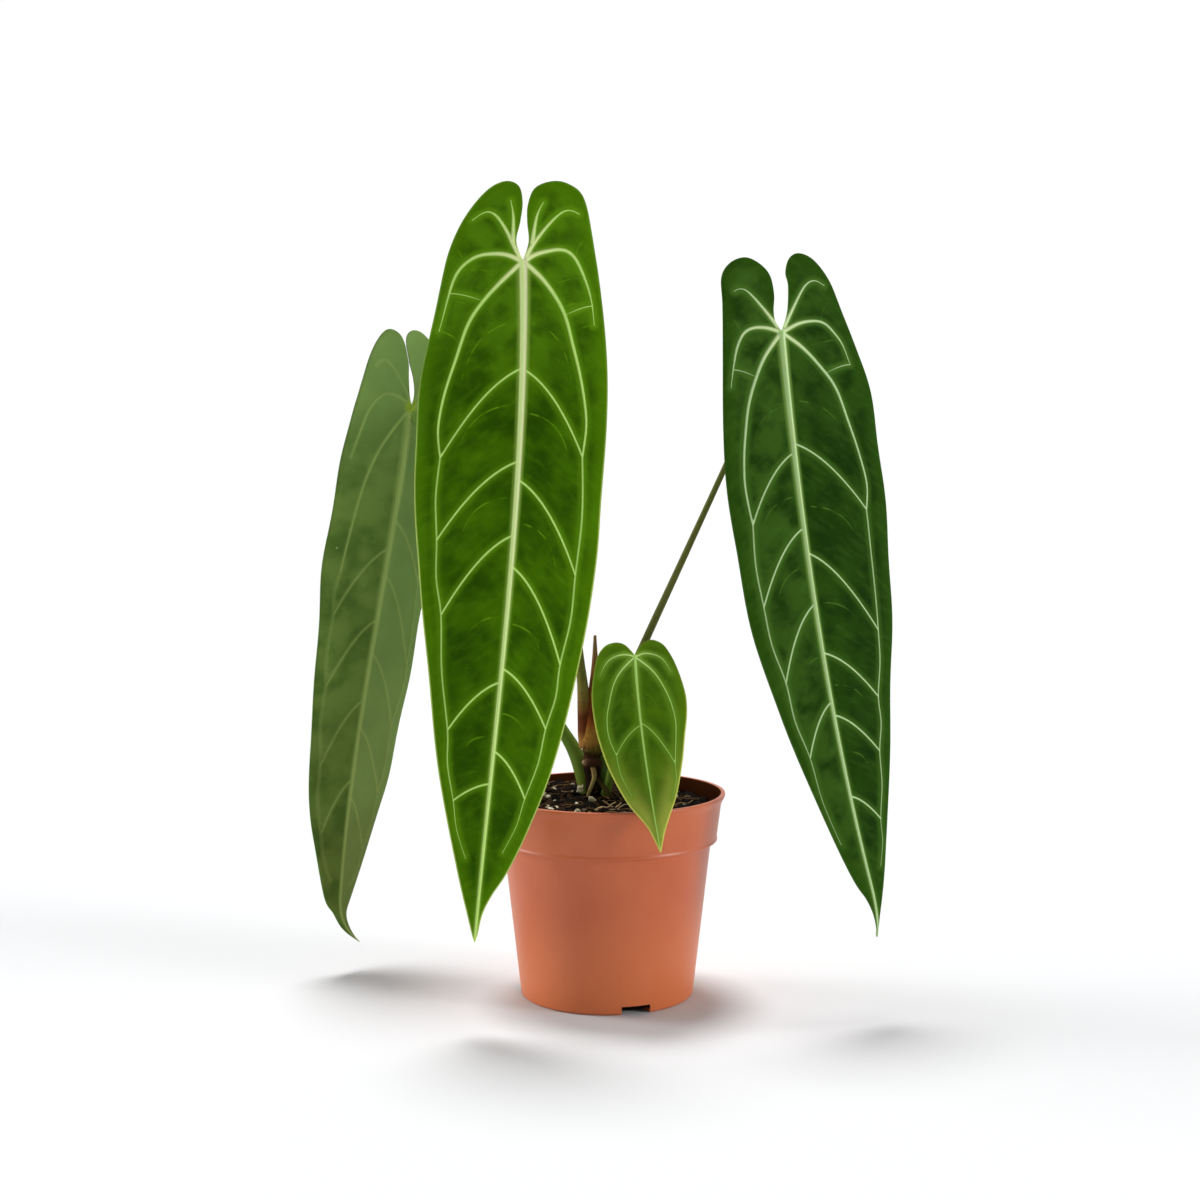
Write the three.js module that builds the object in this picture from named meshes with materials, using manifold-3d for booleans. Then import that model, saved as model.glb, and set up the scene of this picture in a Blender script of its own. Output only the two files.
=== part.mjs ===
// Potted queen anthurium: four long, hanging, heart-based blades with a raised net of pale
// veins, on slender petioles that rise from a short cane in a round nursery pot of bark soil.
// Millimetres, +Z up. The origin is the centre of the pot's underside, the front is at -Y.
import * as THREE from 'three';
import { mergeVertices } from 'three/addons/utils/BufferGeometryUtils.js';
import Module from 'manifold-3d';

const wasm = await Module();
wasm.setup();

// Driving dimensions
const clearance = 0.3;
const bladeThickness = 0.8;

const pot = {
  height: 104,
  rimRadius: 60,
  baseRadius: 44.2,
  shoulderHeight: 78.2,
  shoulderRadius: 52.9,
  collarBottomRadius: 55.8,
  collarTopRadius: 58.1,
  collarTopHeight: 99.2,
  wall: 1.4,
  floor: 1.8,
  collarStep: 1.4,
  lipHeight: 3.8,
  cornerRadius: 0.6,
  segments: 48,
};

// Drain notches: open channels under the pot's floor, each with a hole in its roof
const drain = {
  angles: [21, 141, 261],
  width: 15,
  height: 4.5,
  innerRadius: 28,
  holeRadius: 4.5,
  holeCentre: 37,
  cutDepth: 5,
  cutterLength: 60,
};

const soilShape = {
  edgeHeight: 97.6,
  slopeX: -0.045,
  slopeY: 0.03,
  moundX: -5,
  moundY: 12,
  moundHeight: 1.8,
  moundSpread: 17,
  lump: 0.9,
  wallGap: 0.5,
  rings: 10,
  sectors: 36,
};

// Stations of the round growing parts: x, y, z, radius
const cane = [
  [-3, 13, 74, 2.6], [-4.4, 13, 88, 4.1], [-6.4, 12.5, 103, 4.5], [-7.3, 12, 111, 3.8],
  [-7.6, 12, 116.5, 4.6], [-7.8, 12, 121, 3.7], [-8.3, 12, 126, 3.8], [-9, 12, 130, 3.2],
];

const petioles = {
  petiole_front: [
    [-9.6, 12, 128, 3.3], [-11, 11.3, 136, 3.9], [-12, 10.5, 145, 3.3], [-12.6, 8.5, 156, 2.7],
    [-13.6, 5, 168, 2.3], [-19, -12, 215, 1.9], [-27, -32, 280, 1.7], [-34, -49, 335, 1.8],
    [-38, -57, 353, 2.4], [-40, -62.5, 361.5, 2.4],
  ],
  petiole_right: [
    [-2, 15, 90, 2.8], [-1.5, 13.5, 105, 3.1], [0, 12, 119, 2.8], [4.6, 9, 139, 2.3],
    [10.7, 6.5, 160, 2.1], [19.2, 4, 180, 2], [36.6, -2, 219, 1.7], [58.7, -8, 268.6, 1.45],
    [77.5, -13.5, 312, 1.7], [82.5, -16.8, 325, 2.4], [85.9, -23, 333, 2.3],
  ],
  petiole_left: [
    [-9, 15, 92, 2.9], [-13.2, 16, 111, 3], [-18.3, 18, 123, 2.8], [-24, 20, 133, 2.4],
    [-45, 28, 172, 1.9], [-70, 37, 225, 1.7], [-89, 42.5, 272, 1.7], [-97, 43.5, 289, 2.3],
    [-103.8, 47.5, 298, 2.3],
  ],
  petiole_small: [
    [-3.5, 9.5, 94, 2.4], [0, 7, 104, 2.3], [3.5, 1.5, 120, 1.8], [8, -10, 142, 1.4],
    [12, -24, 162, 1.4], [13.2, -30, 170, 1.9], [13.7, -35, 175, 1.8],
  ],
};

const roots = {
  aerial_root_front: [
    [-8.4, 10.2, 115, 1.5], [-7.2, 7.4, 111.5, 1.5], [-7.8, 6, 107, 1.4],
    [-9.8, 5.4, 101.5, 1.2], [-11, 5.4, 92, 0.8],
  ],
  aerial_root_right: [
    [-4.6, 9.8, 109, 1.5], [-1.6, 4.6, 105, 1.4], [2.5, 2.8, 100, 1.2], [4, 2.4, 91, 0.8],
  ],
  aerial_root_back: [
    [-7.4, 15.2, 112, 1.5], [-6, 19.4, 107, 1.4], [-5.4, 21.4, 101, 1.2], [-5, 22, 91, 0.8],
  ],
};

// The dry sheath stands beside the front petiole: x, y, z, inner radius, thickness
const sheathStations = [
  [-7.8, 12, 121.5, 4.2, 0.9], [-8, 12, 125.5, 4.3, 0.9], [-7.3, 11.7, 131.5, 4.2, 0.9],
  [-6.4, 11.3, 140, 3.9, 0.9], [-6.2, 11.2, 150, 3.2, 0.8], [-6.3, 11.2, 162, 2.2, 0.7],
  [-6.3, 11.1, 173, 1.2, 0.7], [-6.2, 11, 182, 0.3, 0.6],
];
const sheathFacing = -35;
const sheathSpread = 100;

// Blades. In the plane of a leaf a place is [across, along]: across from the midrib, along
// from the joint towards the tip, and negative along on the two lobes above the joint.
const blades = {
  blade_front: {
    petiole: 'petiole_front',
    colour: 0x3f7010,
    length: 325.3,
    midrib: [[-39.6, -60, 366], [-37, -74, 262], [-53, -84, 150], [-63.5, -68, 43]],
    facing: [-2, 4],
    fold: [0.06, 0.1],
    curl: 0.0016,
    ripple: 0.7,
    lobeLean: 0.1,
    hook: 0,
    left: {
      margin: [
        [0, 0], [3.2, -9.5], [1.6, -19.5], [0.9, -29], [3, -37], [9.5, -40], [18, -36.5],
        [27, -25.5], [34, -10], [39.5, 10], [45, 40], [49, 65], [49, 90], [47, 125], [42, 157],
        [34, 199], [24.5, 245], [11.5, 290], [4.5, 312], [1.6, 321], [0, 325.3],
      ],
      rays: [
        [[0.6, 1], [9, 8.5], [18.5, 18.5], [26, 30], [31.5, 47.5], [37, 66.5], [39, 82.5], [37, 96]],
        [[1.2, 0.2], [7, -3], [14.5, -4], [22.5, -3], [30.5, 3], [35, 13], [40, 34]],
        [[1.4, -1.5], [3.9, -6.5], [8.5, -16], [14, -24], [18.5, -25.5], [24.5, -21.5]],
        [[4.8, -9], [5, -22], [6.5, -30]],
      ],
      laterals: [
        [52, 37, 96], [96, 36, 135.5], [130.5, 30.8, 170.5],
        [199, 22.5, 224], [247, 16.5, 257],
      ],
      fade: [8, 284],
    },
    right: {
      margin: [
        [0, 0], [2.6, -9], [1.6, -19], [1.6, -27], [4.5, -35], [12, -38], [20, -36.5],
        [27.5, -29.5], [32, -12], [35.5, 12], [39, 46], [40, 75], [39.5, 110], [39.5, 140],
        [36.5, 182], [29, 235], [20.5, 267], [12.5, 289], [6, 301.5], [2.4, 311], [1, 321],
        [0, 325.3],
      ],
      rays: [
        [[0.6, 1], [10, 10.5], [18.5, 24.5], [23, 40], [27.5, 57.5], [30.5, 76], [29.5, 92]],
        [[1.2, 0.2], [5, -2.5], [10.5, -4], [18.5, -5], [24.5, -0.5], [31, 16.5], [33, 31]],
        [[1.4, -1.5], [4, -6.5], [10, -15], [16, -21.5], [21, -24], [26, -21.5]],
        [[4.4, -8.5], [6, -21.5], [9, -28]],
      ],
      laterals: [
        [52.5, 29.5, 92], [104.5, 30.2, 146.5], [145, 27, 188.5],
        [192.5, 23.3, 219], [231.5, 17, 253],
      ],
      fade: [9, 280],
    },
  },
  blade_right: {
    petiole: 'petiole_right',
    colour: 0x285a1a,
    length: 299.7,
    midrib: [[85.2, -20, 335], [93.6, -36, 240], [107, -50, 140], [135.2, -46, 41.7]],
    facing: [16, 24],
    fold: [0.05, 0.12],
    curl: 0.0015,
    ripple: 0.8,
    lobeLean: 0,
    hook: -4,
    left: {
      margin: [
        [0, 0], [2.6, -5], [3, -11], [2, -19], [3.2, -29], [8, -35.5], [15, -39], [22.5, -36.5],
        [27.5, -29], [28.3, -14], [30.5, 15], [34, 48], [35.2, 75], [34.8, 105], [32.5, 149],
        [26, 187], [17.5, 228], [8.5, 268], [3.8, 281], [1.4, 290], [0, 299.7],
      ],
      rays: [
        [[0.6, 1], [9.5, 12], [15, 22.5], [20, 35], [23, 47.5], [25.5, 62], [26.5, 77], [25.3, 95]],
        [[1.2, 0], [9, -2.5], [17.5, -1.5], [22.5, 5.5], [25.5, 16], [28, 27]],
        [[1.8, -2.5], [8.5, -12.5], [16, -22], [20, -23], [22, -21.5]],
      ],
      laterals: [[61.5, 25.3, 95], [99, 25.5, 134.5], [136.5, 21, 171.5], [184.5, 16, 208.5]],
      fade: [10, 252],
    },
    right: {
      margin: [
        [0, 0], [2, -4], [4.6, -12], [6, -24], [5.2, -31], [8, -38.5], [13.5, -41], [21, -37.5],
        [28.5, -27], [34, -12], [40.5, 8], [46.5, 33], [48.5, 60], [48.3, 90], [46.5, 124],
        [41.5, 158], [33, 196], [23.5, 232], [12, 265], [4.2, 284], [1.4, 292], [0, 299.7],
      ],
      rays: [
        [
          [0.6, 1], [10.5, 8.5], [20, 19.5], [26.5, 29.5],
          [31.5, 45.5], [36, 61.5], [38.5, 79], [36.3, 92.5],
        ],
        [[1.2, 0], [11, -4.5], [22.5, -5], [29, 1], [33, 7], [36, 17.5]],
        [[1.8, -2.5], [8.5, -14], [15, -24], [20.5, -27], [25.5, -24]],
      ],
      laterals: [
        [57, 36.3, 92.5], [111.5, 33.5, 154], [160.5, 27.5, 187],
        [191, 22, 213.5], [231, 14.5, 246],
      ],
      fade: [8, 268],
    },
  },
  blade_left: {
    petiole: 'petiole_left',
    colour: 0x5b7c39,
    length: 287.3,
    midrib: [[-102.5, 45, 299.6], [-117.7, 56, 203], [-141.5, 54, 105], [-142.6, 34, 17]],
    facing: [-146, -140],
    fold: [-0.2, -0.22],
    curl: -0.0004,
    ripple: 0.6,
    lobeLean: 0.4,
    hook: -13.5,
    left: {
      margin: [
        [0, 0], [1.5, -8], [1.6, -20], [1.2, -28], [3, -35.5], [8, -38.5], [14, -36], [21, -27],
        [26, -14], [29, 2], [31, 22], [32, 48], [32, 78], [30.5, 103], [29.5, 148], [27, 188],
        [22, 214], [16.5, 236], [8.2, 261], [4, 271], [2.5, 279], [1.2, 284], [0, 287.3],
      ],
      rays: [
        [[0.6, 1], [8, 12], [14.5, 25], [19, 41], [22, 58], [23.5, 76], [23, 90]],
        [[1.2, -0.5], [8.5, -5], [16, -4.5], [22, 3], [25, 16], [27.5, 30]],
        [[1.8, -3], [6, -12], [11, -21], [16, -24], [20, -20]],
      ],
      laterals: [[59.5, 23, 90], [88.5, 25.5, 134], [130, 22.5, 168], [170, 19, 204], [208, 13, 236]],
      fade: [6, 256],
    },
    right: {
      margin: [
        [0, 0], [1.5, -8], [1.6, -18], [1.2, -26], [2.4, -34], [6, -38.5], [11, -36], [17.5, -28],
        [24, -16], [29, -2], [31.2, 18], [33, 44], [33.3, 84], [30.7, 116], [27, 154], [24, 192],
        [20, 219], [14.8, 240], [8.2, 264], [4, 272], [2.5, 280], [1.2, 284], [0, 287.3],
      ],
      rays: [
        [[0.6, 1], [7.5, 11.5], [14, 24.5], [18.5, 40], [21, 54.5], [22.5, 70.5], [23.5, 89.5]],
        [[1.2, -0.5], [8.5, -5], [16, -4.5], [22, 3], [25, 16], [27.5, 30]],
        [[1.8, -3], [6, -12], [10, -20], [14, -23], [18, -19]],
      ],
      laterals: [[44, 23.5, 89.5], [74, 24, 112], [112, 21.5, 150], [155, 18.5, 192], [198, 13.5, 228]],
      fade: [6, 254],
    },
  },
  blade_small: {
    petiole: 'petiole_small',
    colour: 0x4d7f22,
    length: 99.3,
    midrib: [[13.5, -32, 177], [14.7, -50, 150], [19.5, -66, 118], [25.3, -70, 87]],
    facing: [4, 6],
    fold: [0.06, 0.06],
    curl: 0.002,
    ripple: 0.5,
    lobeLean: 0,
    hook: 0,
    left: {
      margin: [
        [0, 0], [2.4, -3.5], [5, -6.3], [9, -7.5], [14, -6], [17.8, -1], [20, 7], [22, 19],
        [22, 31], [20.7, 43], [17.5, 57], [11.5, 73], [5.5, 84], [2.3, 91], [0, 99.3],
      ],
      rays: [
        [[0.6, 1.5], [7.5, 8.5], [11.5, 15.5], [14, 24], [16, 32], [16, 41.5], [13.5, 50]],
        [[1, 0.5], [5, -0.8], [9.5, 0.2], [14, 3], [17.5, 10]],
      ],
      laterals: [[37, 13.5, 50], [56, 10, 70]],
      fade: [4.5, 83],
    },
    right: {
      margin: [
        [0, 0], [2.3, -4.5], [5, -8], [9, -9.6], [14, -7.6], [17.8, -1.5], [21, 8], [23.4, 21],
        [23, 32], [20.5, 44], [17.5, 57], [12.5, 72], [7.5, 82], [3.5, 90], [0, 99.3],
      ],
      rays: [
        [[0.6, 1.5], [8, 8], [12.5, 16], [15.5, 24.5], [17, 34], [16.5, 42], [14, 57]],
        [[1, 0.5], [4.5, -1.5], [8.5, -1], [13.5, 1], [17.5, 9]],
      ],
      laterals: [[36, 14, 57], [58, 9.5, 74]],
      fade: [5, 84],
    },
  },
};

// Relief of the veins on a full-size blade: half width and height, at the root and at the end
const veinShapes = {
  midrib: { width: [2.2, 0.6], height: [1, 0.4] },
  ray: { width: [1.3, 0.9], height: [0.65, 0.45] },
  lateral: { width: [1.1, 0.8], height: [0.5, 0.4] },
  collective: { width: [0.9, 0.7], height: [0.4, 0.3] },
};
const undersideRelief = 1.5;
const lateralBend = 0.18;
const collectiveBulge = 1.3;
const fullSize = { length: 289, smallLength: 99, smallScale: 0.55 };

// Spacing of the points that carry a blade's triangles
const mesh = {
  vein: 9.5,
  margin: 9,
  fineMargin: 5,
  fill: 11.5,
  smallLeaf: 120,
  smallRoom: 0.62,
  crestGap: 1.4,
  flankGap: 0.55,
  edgeGap: 1,
  fillEdgeGap: 4,
  crossingGap: 0.4,
};

// Waves along a blade's margin, and the sideways sway of its lobes and tip
const wave = { length: 62, phase: 1.9, reach: 25 };
const leaning = { lobe: 15, hook: 28 };
const tipFade = { length: 12, share: 0.5 };

const mix = THREE.MathUtils.lerp;
const clamp = THREE.MathUtils.clamp;
const radians = THREE.MathUtils.degToRad;
const vector = ([x, y, z]) => new THREE.Vector3(x, y, z);

// Closed meshes and solids

function geometryFrom(vertices, triangles) {
  const geometry = new THREE.BufferGeometry();
  const positions = vertices.flatMap((v) => [v.x, v.y, v.z]);
  geometry.setAttribute('position', new THREE.Float32BufferAttribute(positions, 3));
  let volume = 0;
  for (const [a, b, c] of triangles) {
    volume += vertices[a].dot(new THREE.Vector3().crossVectors(vertices[b], vertices[c]));
  }
  const outward = volume > 0 ? triangles : triangles.map(([a, b, c]) => [a, c, b]);
  geometry.setIndex(outward.flat());
  return geometry;
}

function solidOf(geometry) {
  const bare = geometry.clone();
  bare.deleteAttribute('normal');
  bare.deleteAttribute('uv');
  const merged = mergeVertices(bare, 1e-4);
  const vertProperties = new Float32Array(merged.attributes.position.array);
  const triVerts = new Uint32Array(merged.index.array);
  return new wasm.Manifold(new wasm.Mesh({ numProp: 3, vertProperties, triVerts }));
}

function geometryOf(solid) {
  const { vertProperties, triVerts } = solid.getMesh();
  const geometry = new THREE.BufferGeometry();
  geometry.setAttribute('position', new THREE.BufferAttribute(new Float32Array(vertProperties), 3));
  geometry.setIndex(new THREE.BufferAttribute(new Uint32Array(triVerts), 1));
  return geometry;
}

function largestBody(solid) {
  const bodies = solid.decompose();
  return bodies.reduce((best, body) => (body.volume() > best.volume() ? body : best));
}

function carve(geometry, neighbours) {
  const cut = neighbours.reduce((solid, other) => solid.subtract(solidOf(other)), solidOf(geometry));
  return geometryOf(largestBody(cut));
}

// Rings of points joined in order, with both ends capped
function loft(rings) {
  const count = rings[0].length;
  const vertices = rings.flat();
  const triangles = [];
  for (let i = 0; i < rings.length - 1; i += 1) {
    for (let j = 0; j < count; j += 1) {
      const a = i * count + j;
      const b = i * count + ((j + 1) % count);
      triangles.push([a, b, b + count], [a, b + count, a + count]);
    }
  }
  const last = (rings.length - 1) * count;
  for (let j = 1; j < count - 1; j += 1) {
    triangles.push([0, j + 1, j], [last, last + j, last + j + 1]);
  }
  return geometryFrom(vertices, triangles);
}

// A round growing part along its stations, made larger all over by grow
function limb(stations, steps, sides, grow = 0) {
  const curve = new THREE.CatmullRomCurve3(stations.map(vector));
  const radii = new THREE.SplineCurve(stations.map((station, i) => new THREE.Vector2(i, station[3])));
  const rings = [];
  let side = new THREE.Vector3(1, 0, 0);
  for (let i = 0; i <= steps; i += 1) {
    const t = i / steps;
    const along = curve.getTangent(t);
    const centre = curve.getPoint(t);
    if (i === 0) centre.addScaledVector(along, -grow);
    if (i === steps) centre.addScaledVector(along, grow);
    side = side.clone().addScaledVector(along, -side.dot(along)).normalize();
    const across = new THREE.Vector3().crossVectors(along, side);
    const radius = radii.getPoint(t).y + grow;
    rings.push(ringAround(centre, side, across, radius, sides));
  }
  return loft(rings);
}

function ringAround(centre, side, across, radius, sides) {
  return Array.from({ length: sides }, (_, j) => {
    const angle = (j / sides) * Math.PI * 2;
    return centre.clone()
      .addScaledVector(side, radius * Math.cos(angle))
      .addScaledVector(across, radius * Math.sin(angle));
  });
}

// Pot

function lathe(profile) {
  const points = profile.map(([r, z]) => new THREE.Vector2(r, z));
  return new THREE.LatheGeometry(points, pot.segments).rotateX(Math.PI / 2);
}

function bodyRadius(z) {
  return mix(pot.baseRadius, pot.shoulderRadius, z / pot.shoulderHeight);
}

function potProfile() {
  const inner = (r) => r - pot.wall;
  const round = pot.cornerRadius;
  const collarBottom = pot.shoulderHeight + pot.collarStep;
  const innerFoot = pot.floor + 4 * round;
  return [
    [0, 0],
    [pot.baseRadius - 2 * round, 0],
    [bodyRadius(2 * round), 2 * round],
    [pot.shoulderRadius, pot.shoulderHeight],
    [pot.collarBottomRadius - round, pot.shoulderHeight + round],
    [pot.collarBottomRadius, collarBottom],
    [pot.collarTopRadius, pot.collarTopHeight],
    [pot.rimRadius - round, pot.height - pot.lipHeight],
    [pot.rimRadius, pot.height - pot.lipHeight + 2 * round],
    [pot.rimRadius, pot.height - 2 * round],
    [pot.rimRadius - round, pot.height],
    [inner(pot.collarTopRadius) + 2 * round, pot.height],
    [inner(pot.collarTopRadius) + round, pot.height - round],
    [inner(pot.collarBottomRadius), collarBottom + round],
    [inner(pot.shoulderRadius), collarBottom - round],
    [inner(bodyRadius(innerFoot)), innerFoot],
    [inner(bodyRadius(innerFoot)) - 3 * round, pot.floor],
    [0, pot.floor],
  ];
}

function drainBox(angle, grow, bottom) {
  const outer = pot.baseRadius + 6;
  const inner = drain.innerRadius - grow;
  const top = drain.height + grow;
  const box = new THREE.BoxGeometry(outer - inner, drain.width + 2 * grow, top - bottom);
  box.translate((outer + inner) / 2, 0, (top + bottom) / 2);
  return box.rotateZ(radians(angle - 90));
}

function upright(radius, segments) {
  const cylinder = new THREE.CylinderGeometry(radius, radius, drain.cutterLength, segments);
  return cylinder.rotateX(Math.PI / 2);
}

function makePot() {
  const insideWall = bodyRadius(0) - pot.wall / 3;
  const core = solidOf(upright(insideWall, pot.segments));
  let solid = solidOf(lathe(potProfile()));
  for (const angle of drain.angles) {
    const roof = solidOf(drainBox(angle, pot.wall, pot.floor / 3)).intersect(core);
    const hole = upright(drain.holeRadius, pot.segments / 3);
    hole.translate(drain.holeCentre, 0, 0).rotateZ(radians(angle - 90));
    solid = solid.add(roof);
    solid = solid.subtract(solidOf(drainBox(angle, 0, -drain.cutDepth))).subtract(solidOf(hole));
  }
  return geometryOf(solid);
}

// Soil

function soilHeight(x, y) {
  const s = soilShape;
  const mound = Math.exp(-((x - s.moundX) ** 2 + (y - s.moundY) ** 2) / (2 * s.moundSpread ** 2));
  const lumps = Math.sin(x * 0.61 + 1.3) * Math.cos(y * 0.57) + 0.7 * Math.sin(x * 0.33 - y * 0.41);
  return s.edgeHeight + s.slopeX * x + s.slopeY * y + s.moundHeight * mound + s.lump * lumps;
}

function makeSoil(neighbours) {
  const inset = pot.wall + soilShape.wallGap;
  const step = pot.shoulderHeight + pot.collarStep;
  const foot = pot.floor + 6 * pot.cornerRadius;
  const walls = [
    [pot.collarTopRadius - inset - soilShape.wallGap, null],
    [pot.collarBottomRadius - inset, step + 2 * soilShape.wallGap],
    [pot.shoulderRadius - inset, step],
    [bodyRadius(foot) - inset, foot],
    [bodyRadius(foot) - inset - 4 * pot.cornerRadius, pot.floor + clearance],
  ];
  const vertices = [new THREE.Vector3(0, 0, soilHeight(0, 0))];
  const triangles = [];
  const n = soilShape.sectors;
  const ring = (radius, height) => {
    for (let j = 0; j < n; j += 1) {
      const angle = (j / n) * Math.PI * 2;
      const x = radius * Math.cos(angle);
      const y = radius * Math.sin(angle);
      vertices.push(new THREE.Vector3(x, y, height ?? soilHeight(x, y)));
    }
  };
  for (let i = 1; i < soilShape.rings; i += 1) {
    ring((walls[0][0] * i) / soilShape.rings, null);
  }
  for (const [radius, height] of walls) ring(radius, height);
  const ringCount = soilShape.rings - 1 + walls.length;
  const bottom = vertices.push(new THREE.Vector3(0, 0, pot.floor + clearance)) - 1;
  for (let j = 0; j < n; j += 1) {
    const next = (j + 1) % n;
    triangles.push([0, 1 + j, 1 + next]);
    for (let i = 0; i < ringCount - 1; i += 1) {
      const a = 1 + i * n;
      triangles.push([a + j, a + n + j, a + n + next], [a + j, a + n + next, a + next]);
    }
    const last = 1 + (ringCount - 1) * n;
    triangles.push([last + j, bottom, last + next]);
  }
  const channels = drain.angles.map((angle) => drainBox(angle, pot.wall + clearance, -drain.cutDepth));
  return carve(geometryFrom(vertices, triangles), [...channels, ...neighbours]);
}

// Dry sheath: an open, tapering half-tube with a pointed end

function makeSheath(neighbours) {
  const across = 6;
  const width = across + 1;
  const arc = ([x, y, z], radius) => Array.from({ length: width }, (_, j) => {
    const angle = radians(sheathFacing + mix(-sheathSpread, sheathSpread, j / across));
    return new THREE.Vector3(x + radius * Math.cos(angle), y + radius * Math.sin(angle), z);
  });
  const rows = sheathStations.map((station) => ({
    outer: arc(station, station[3] + station[4]),
    inner: arc(station, station[3]),
  }));
  const vertices = [...rows.flatMap((row) => row.outer), ...rows.flatMap((row) => row.inner)];
  const innerStart = rows.length * width;
  const upper = [];
  for (let i = 0; i < rows.length - 1; i += 1) {
    for (let j = 0; j < across; j += 1) {
      const a = i * width + j;
      upper.push([a, a + 1, a + width + 1], [a, a + width + 1, a + width]);
    }
  }
  return carve(geometryFrom(vertices, closedBetween(upper, innerStart)), neighbours);
}

// Two like skins, the second starting at offset, joined round their open edges
function closedBetween(skin, offset) {
  const directed = new Set(skin.flatMap(([a, b, c]) => [`${a},${b}`, `${b},${c}`, `${c},${a}`]));
  const triangles = [...skin, ...skin.map(([a, b, c]) => [a + offset, c + offset, b + offset])];
  for (const [a, b, c] of skin) {
    for (const [p, q] of [[a, b], [b, c], [c, a]]) {
      if (directed.has(`${q},${p}`)) continue;
      triangles.push([q, p, p + offset], [q, p + offset, q + offset]);
    }
  }
  return triangles;
}

// Leaf plane: the veins and margin of one half blade, where across is always positive

function planeCurve(points) {
  return new THREE.SplineCurve(points.map(([x, y]) => new THREE.Vector2(x, y)));
}

function lateralCurve([start, across, along]) {
  const root = new THREE.Vector2(clearance, start);
  const bend = new THREE.Vector2(across / 2, mix(start, along, lateralBend));
  return new THREE.QuadraticBezierCurve(root, bend, new THREE.Vector2(across, along));
}

function collectiveCurve(half) {
  const first = half.rays[0].at(-1);
  const tips = half.laterals.map(([, x, y]) => [x, y]).filter(([, y]) => y > first[1] + 1);
  const ends = [first, ...tips, half.fade];
  const points = ends.flatMap((end, i) => {
    if (i === 0) return [end];
    const before = ends[i - 1];
    return [[(before[0] + end[0]) / 2 + collectiveBulge, (before[1] + end[1]) / 2], end];
  });
  return planeCurve(points);
}

function veinsOf(half, length) {
  const size = (length - fullSize.smallLength) / (fullSize.length - fullSize.smallLength);
  const scale = mix(fullSize.smallScale, 1, clamp(size, 0, 1));
  const make = (curve, kind) => {
    const steps = Math.max(3, Math.ceil(curve.getLength() / (mesh.vein * mix(0.7, 1, scale))));
    const fine = curve.getSpacedPoints(steps * 4);
    const width = kind.width.map((w) => w * scale);
    const height = kind.height.map((h) => h * scale);
    return { curve, steps, fine, width, height };
  };
  const midrib = new THREE.LineCurve(new THREE.Vector2(0, 0), new THREE.Vector2(0, length));
  return [
    make(midrib, veinShapes.midrib),
    ...half.rays.map((ray) => make(planeCurve(ray), veinShapes.ray)),
    ...half.laterals.map((lateral) => make(lateralCurve(lateral), veinShapes.lateral)),
    make(collectiveCurve(half), veinShapes.collective),
  ];
}

function reliefAt(veins, point) {
  let best = 0;
  for (const { fine, width, height } of veins) {
    for (let i = 0; i < fine.length - 1; i += 1) {
      const t = i / (fine.length - 2);
      const near = distanceToSegment(point, fine[i], fine[i + 1]);
      const slope = 1 - near / mix(width[0], width[1], t);
      best = Math.max(best, mix(height[0], height[1], t) * slope);
    }
  }
  return best;
}

function distanceToSegment(p, a, b) {
  const step = new THREE.Vector2().subVectors(b, a);
  const t = clamp(new THREE.Vector2().subVectors(p, a).dot(step) / step.lengthSq(), 0, 1);
  return p.distanceTo(a.clone().addScaledVector(step, t));
}

function marginPoints(half, length) {
  const dense = planeCurve(half.margin).getSpacedPoints(600);
  const points = [];
  let walked = 0;
  for (let i = 1; i < dense.length; i += 1) {
    walked += dense[i].distanceTo(dense[i - 1]);
    const nearEnd = dense[i].y < 4 || dense[i].y > length * 0.93;
    const step = length < mesh.smallLeaf || nearEnd ? mesh.fineMargin : mesh.margin;
    const tipNear = length - dense[i].y < step * 0.6;
    if (walked >= step && !tipNear) {
      points.push(new THREE.Vector2(Math.max(dense[i].x, 0.5), dense[i].y));
      walked = 0;
    }
  }
  return points;
}

function insidePolygon(p, polygon) {
  let inside = false;
  for (let i = 0, j = polygon.length - 1; i < polygon.length; j = i, i += 1) {
    const a = polygon[i];
    const b = polygon[j];
    if ((a.y > p.y) === (b.y > p.y)) continue;
    if (p.x < ((b.x - a.x) * (p.y - a.y)) / (b.y - a.y) + a.x) inside = !inside;
  }
  return inside;
}

function distanceToLine(p, line) {
  return Math.min(...line.slice(1).map((b, i) => distanceToSegment(p, line[i], b)));
}

function mirror(points, sign) {
  return points.map((p) => new THREE.Vector2(sign * p.x, p.y));
}

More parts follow.
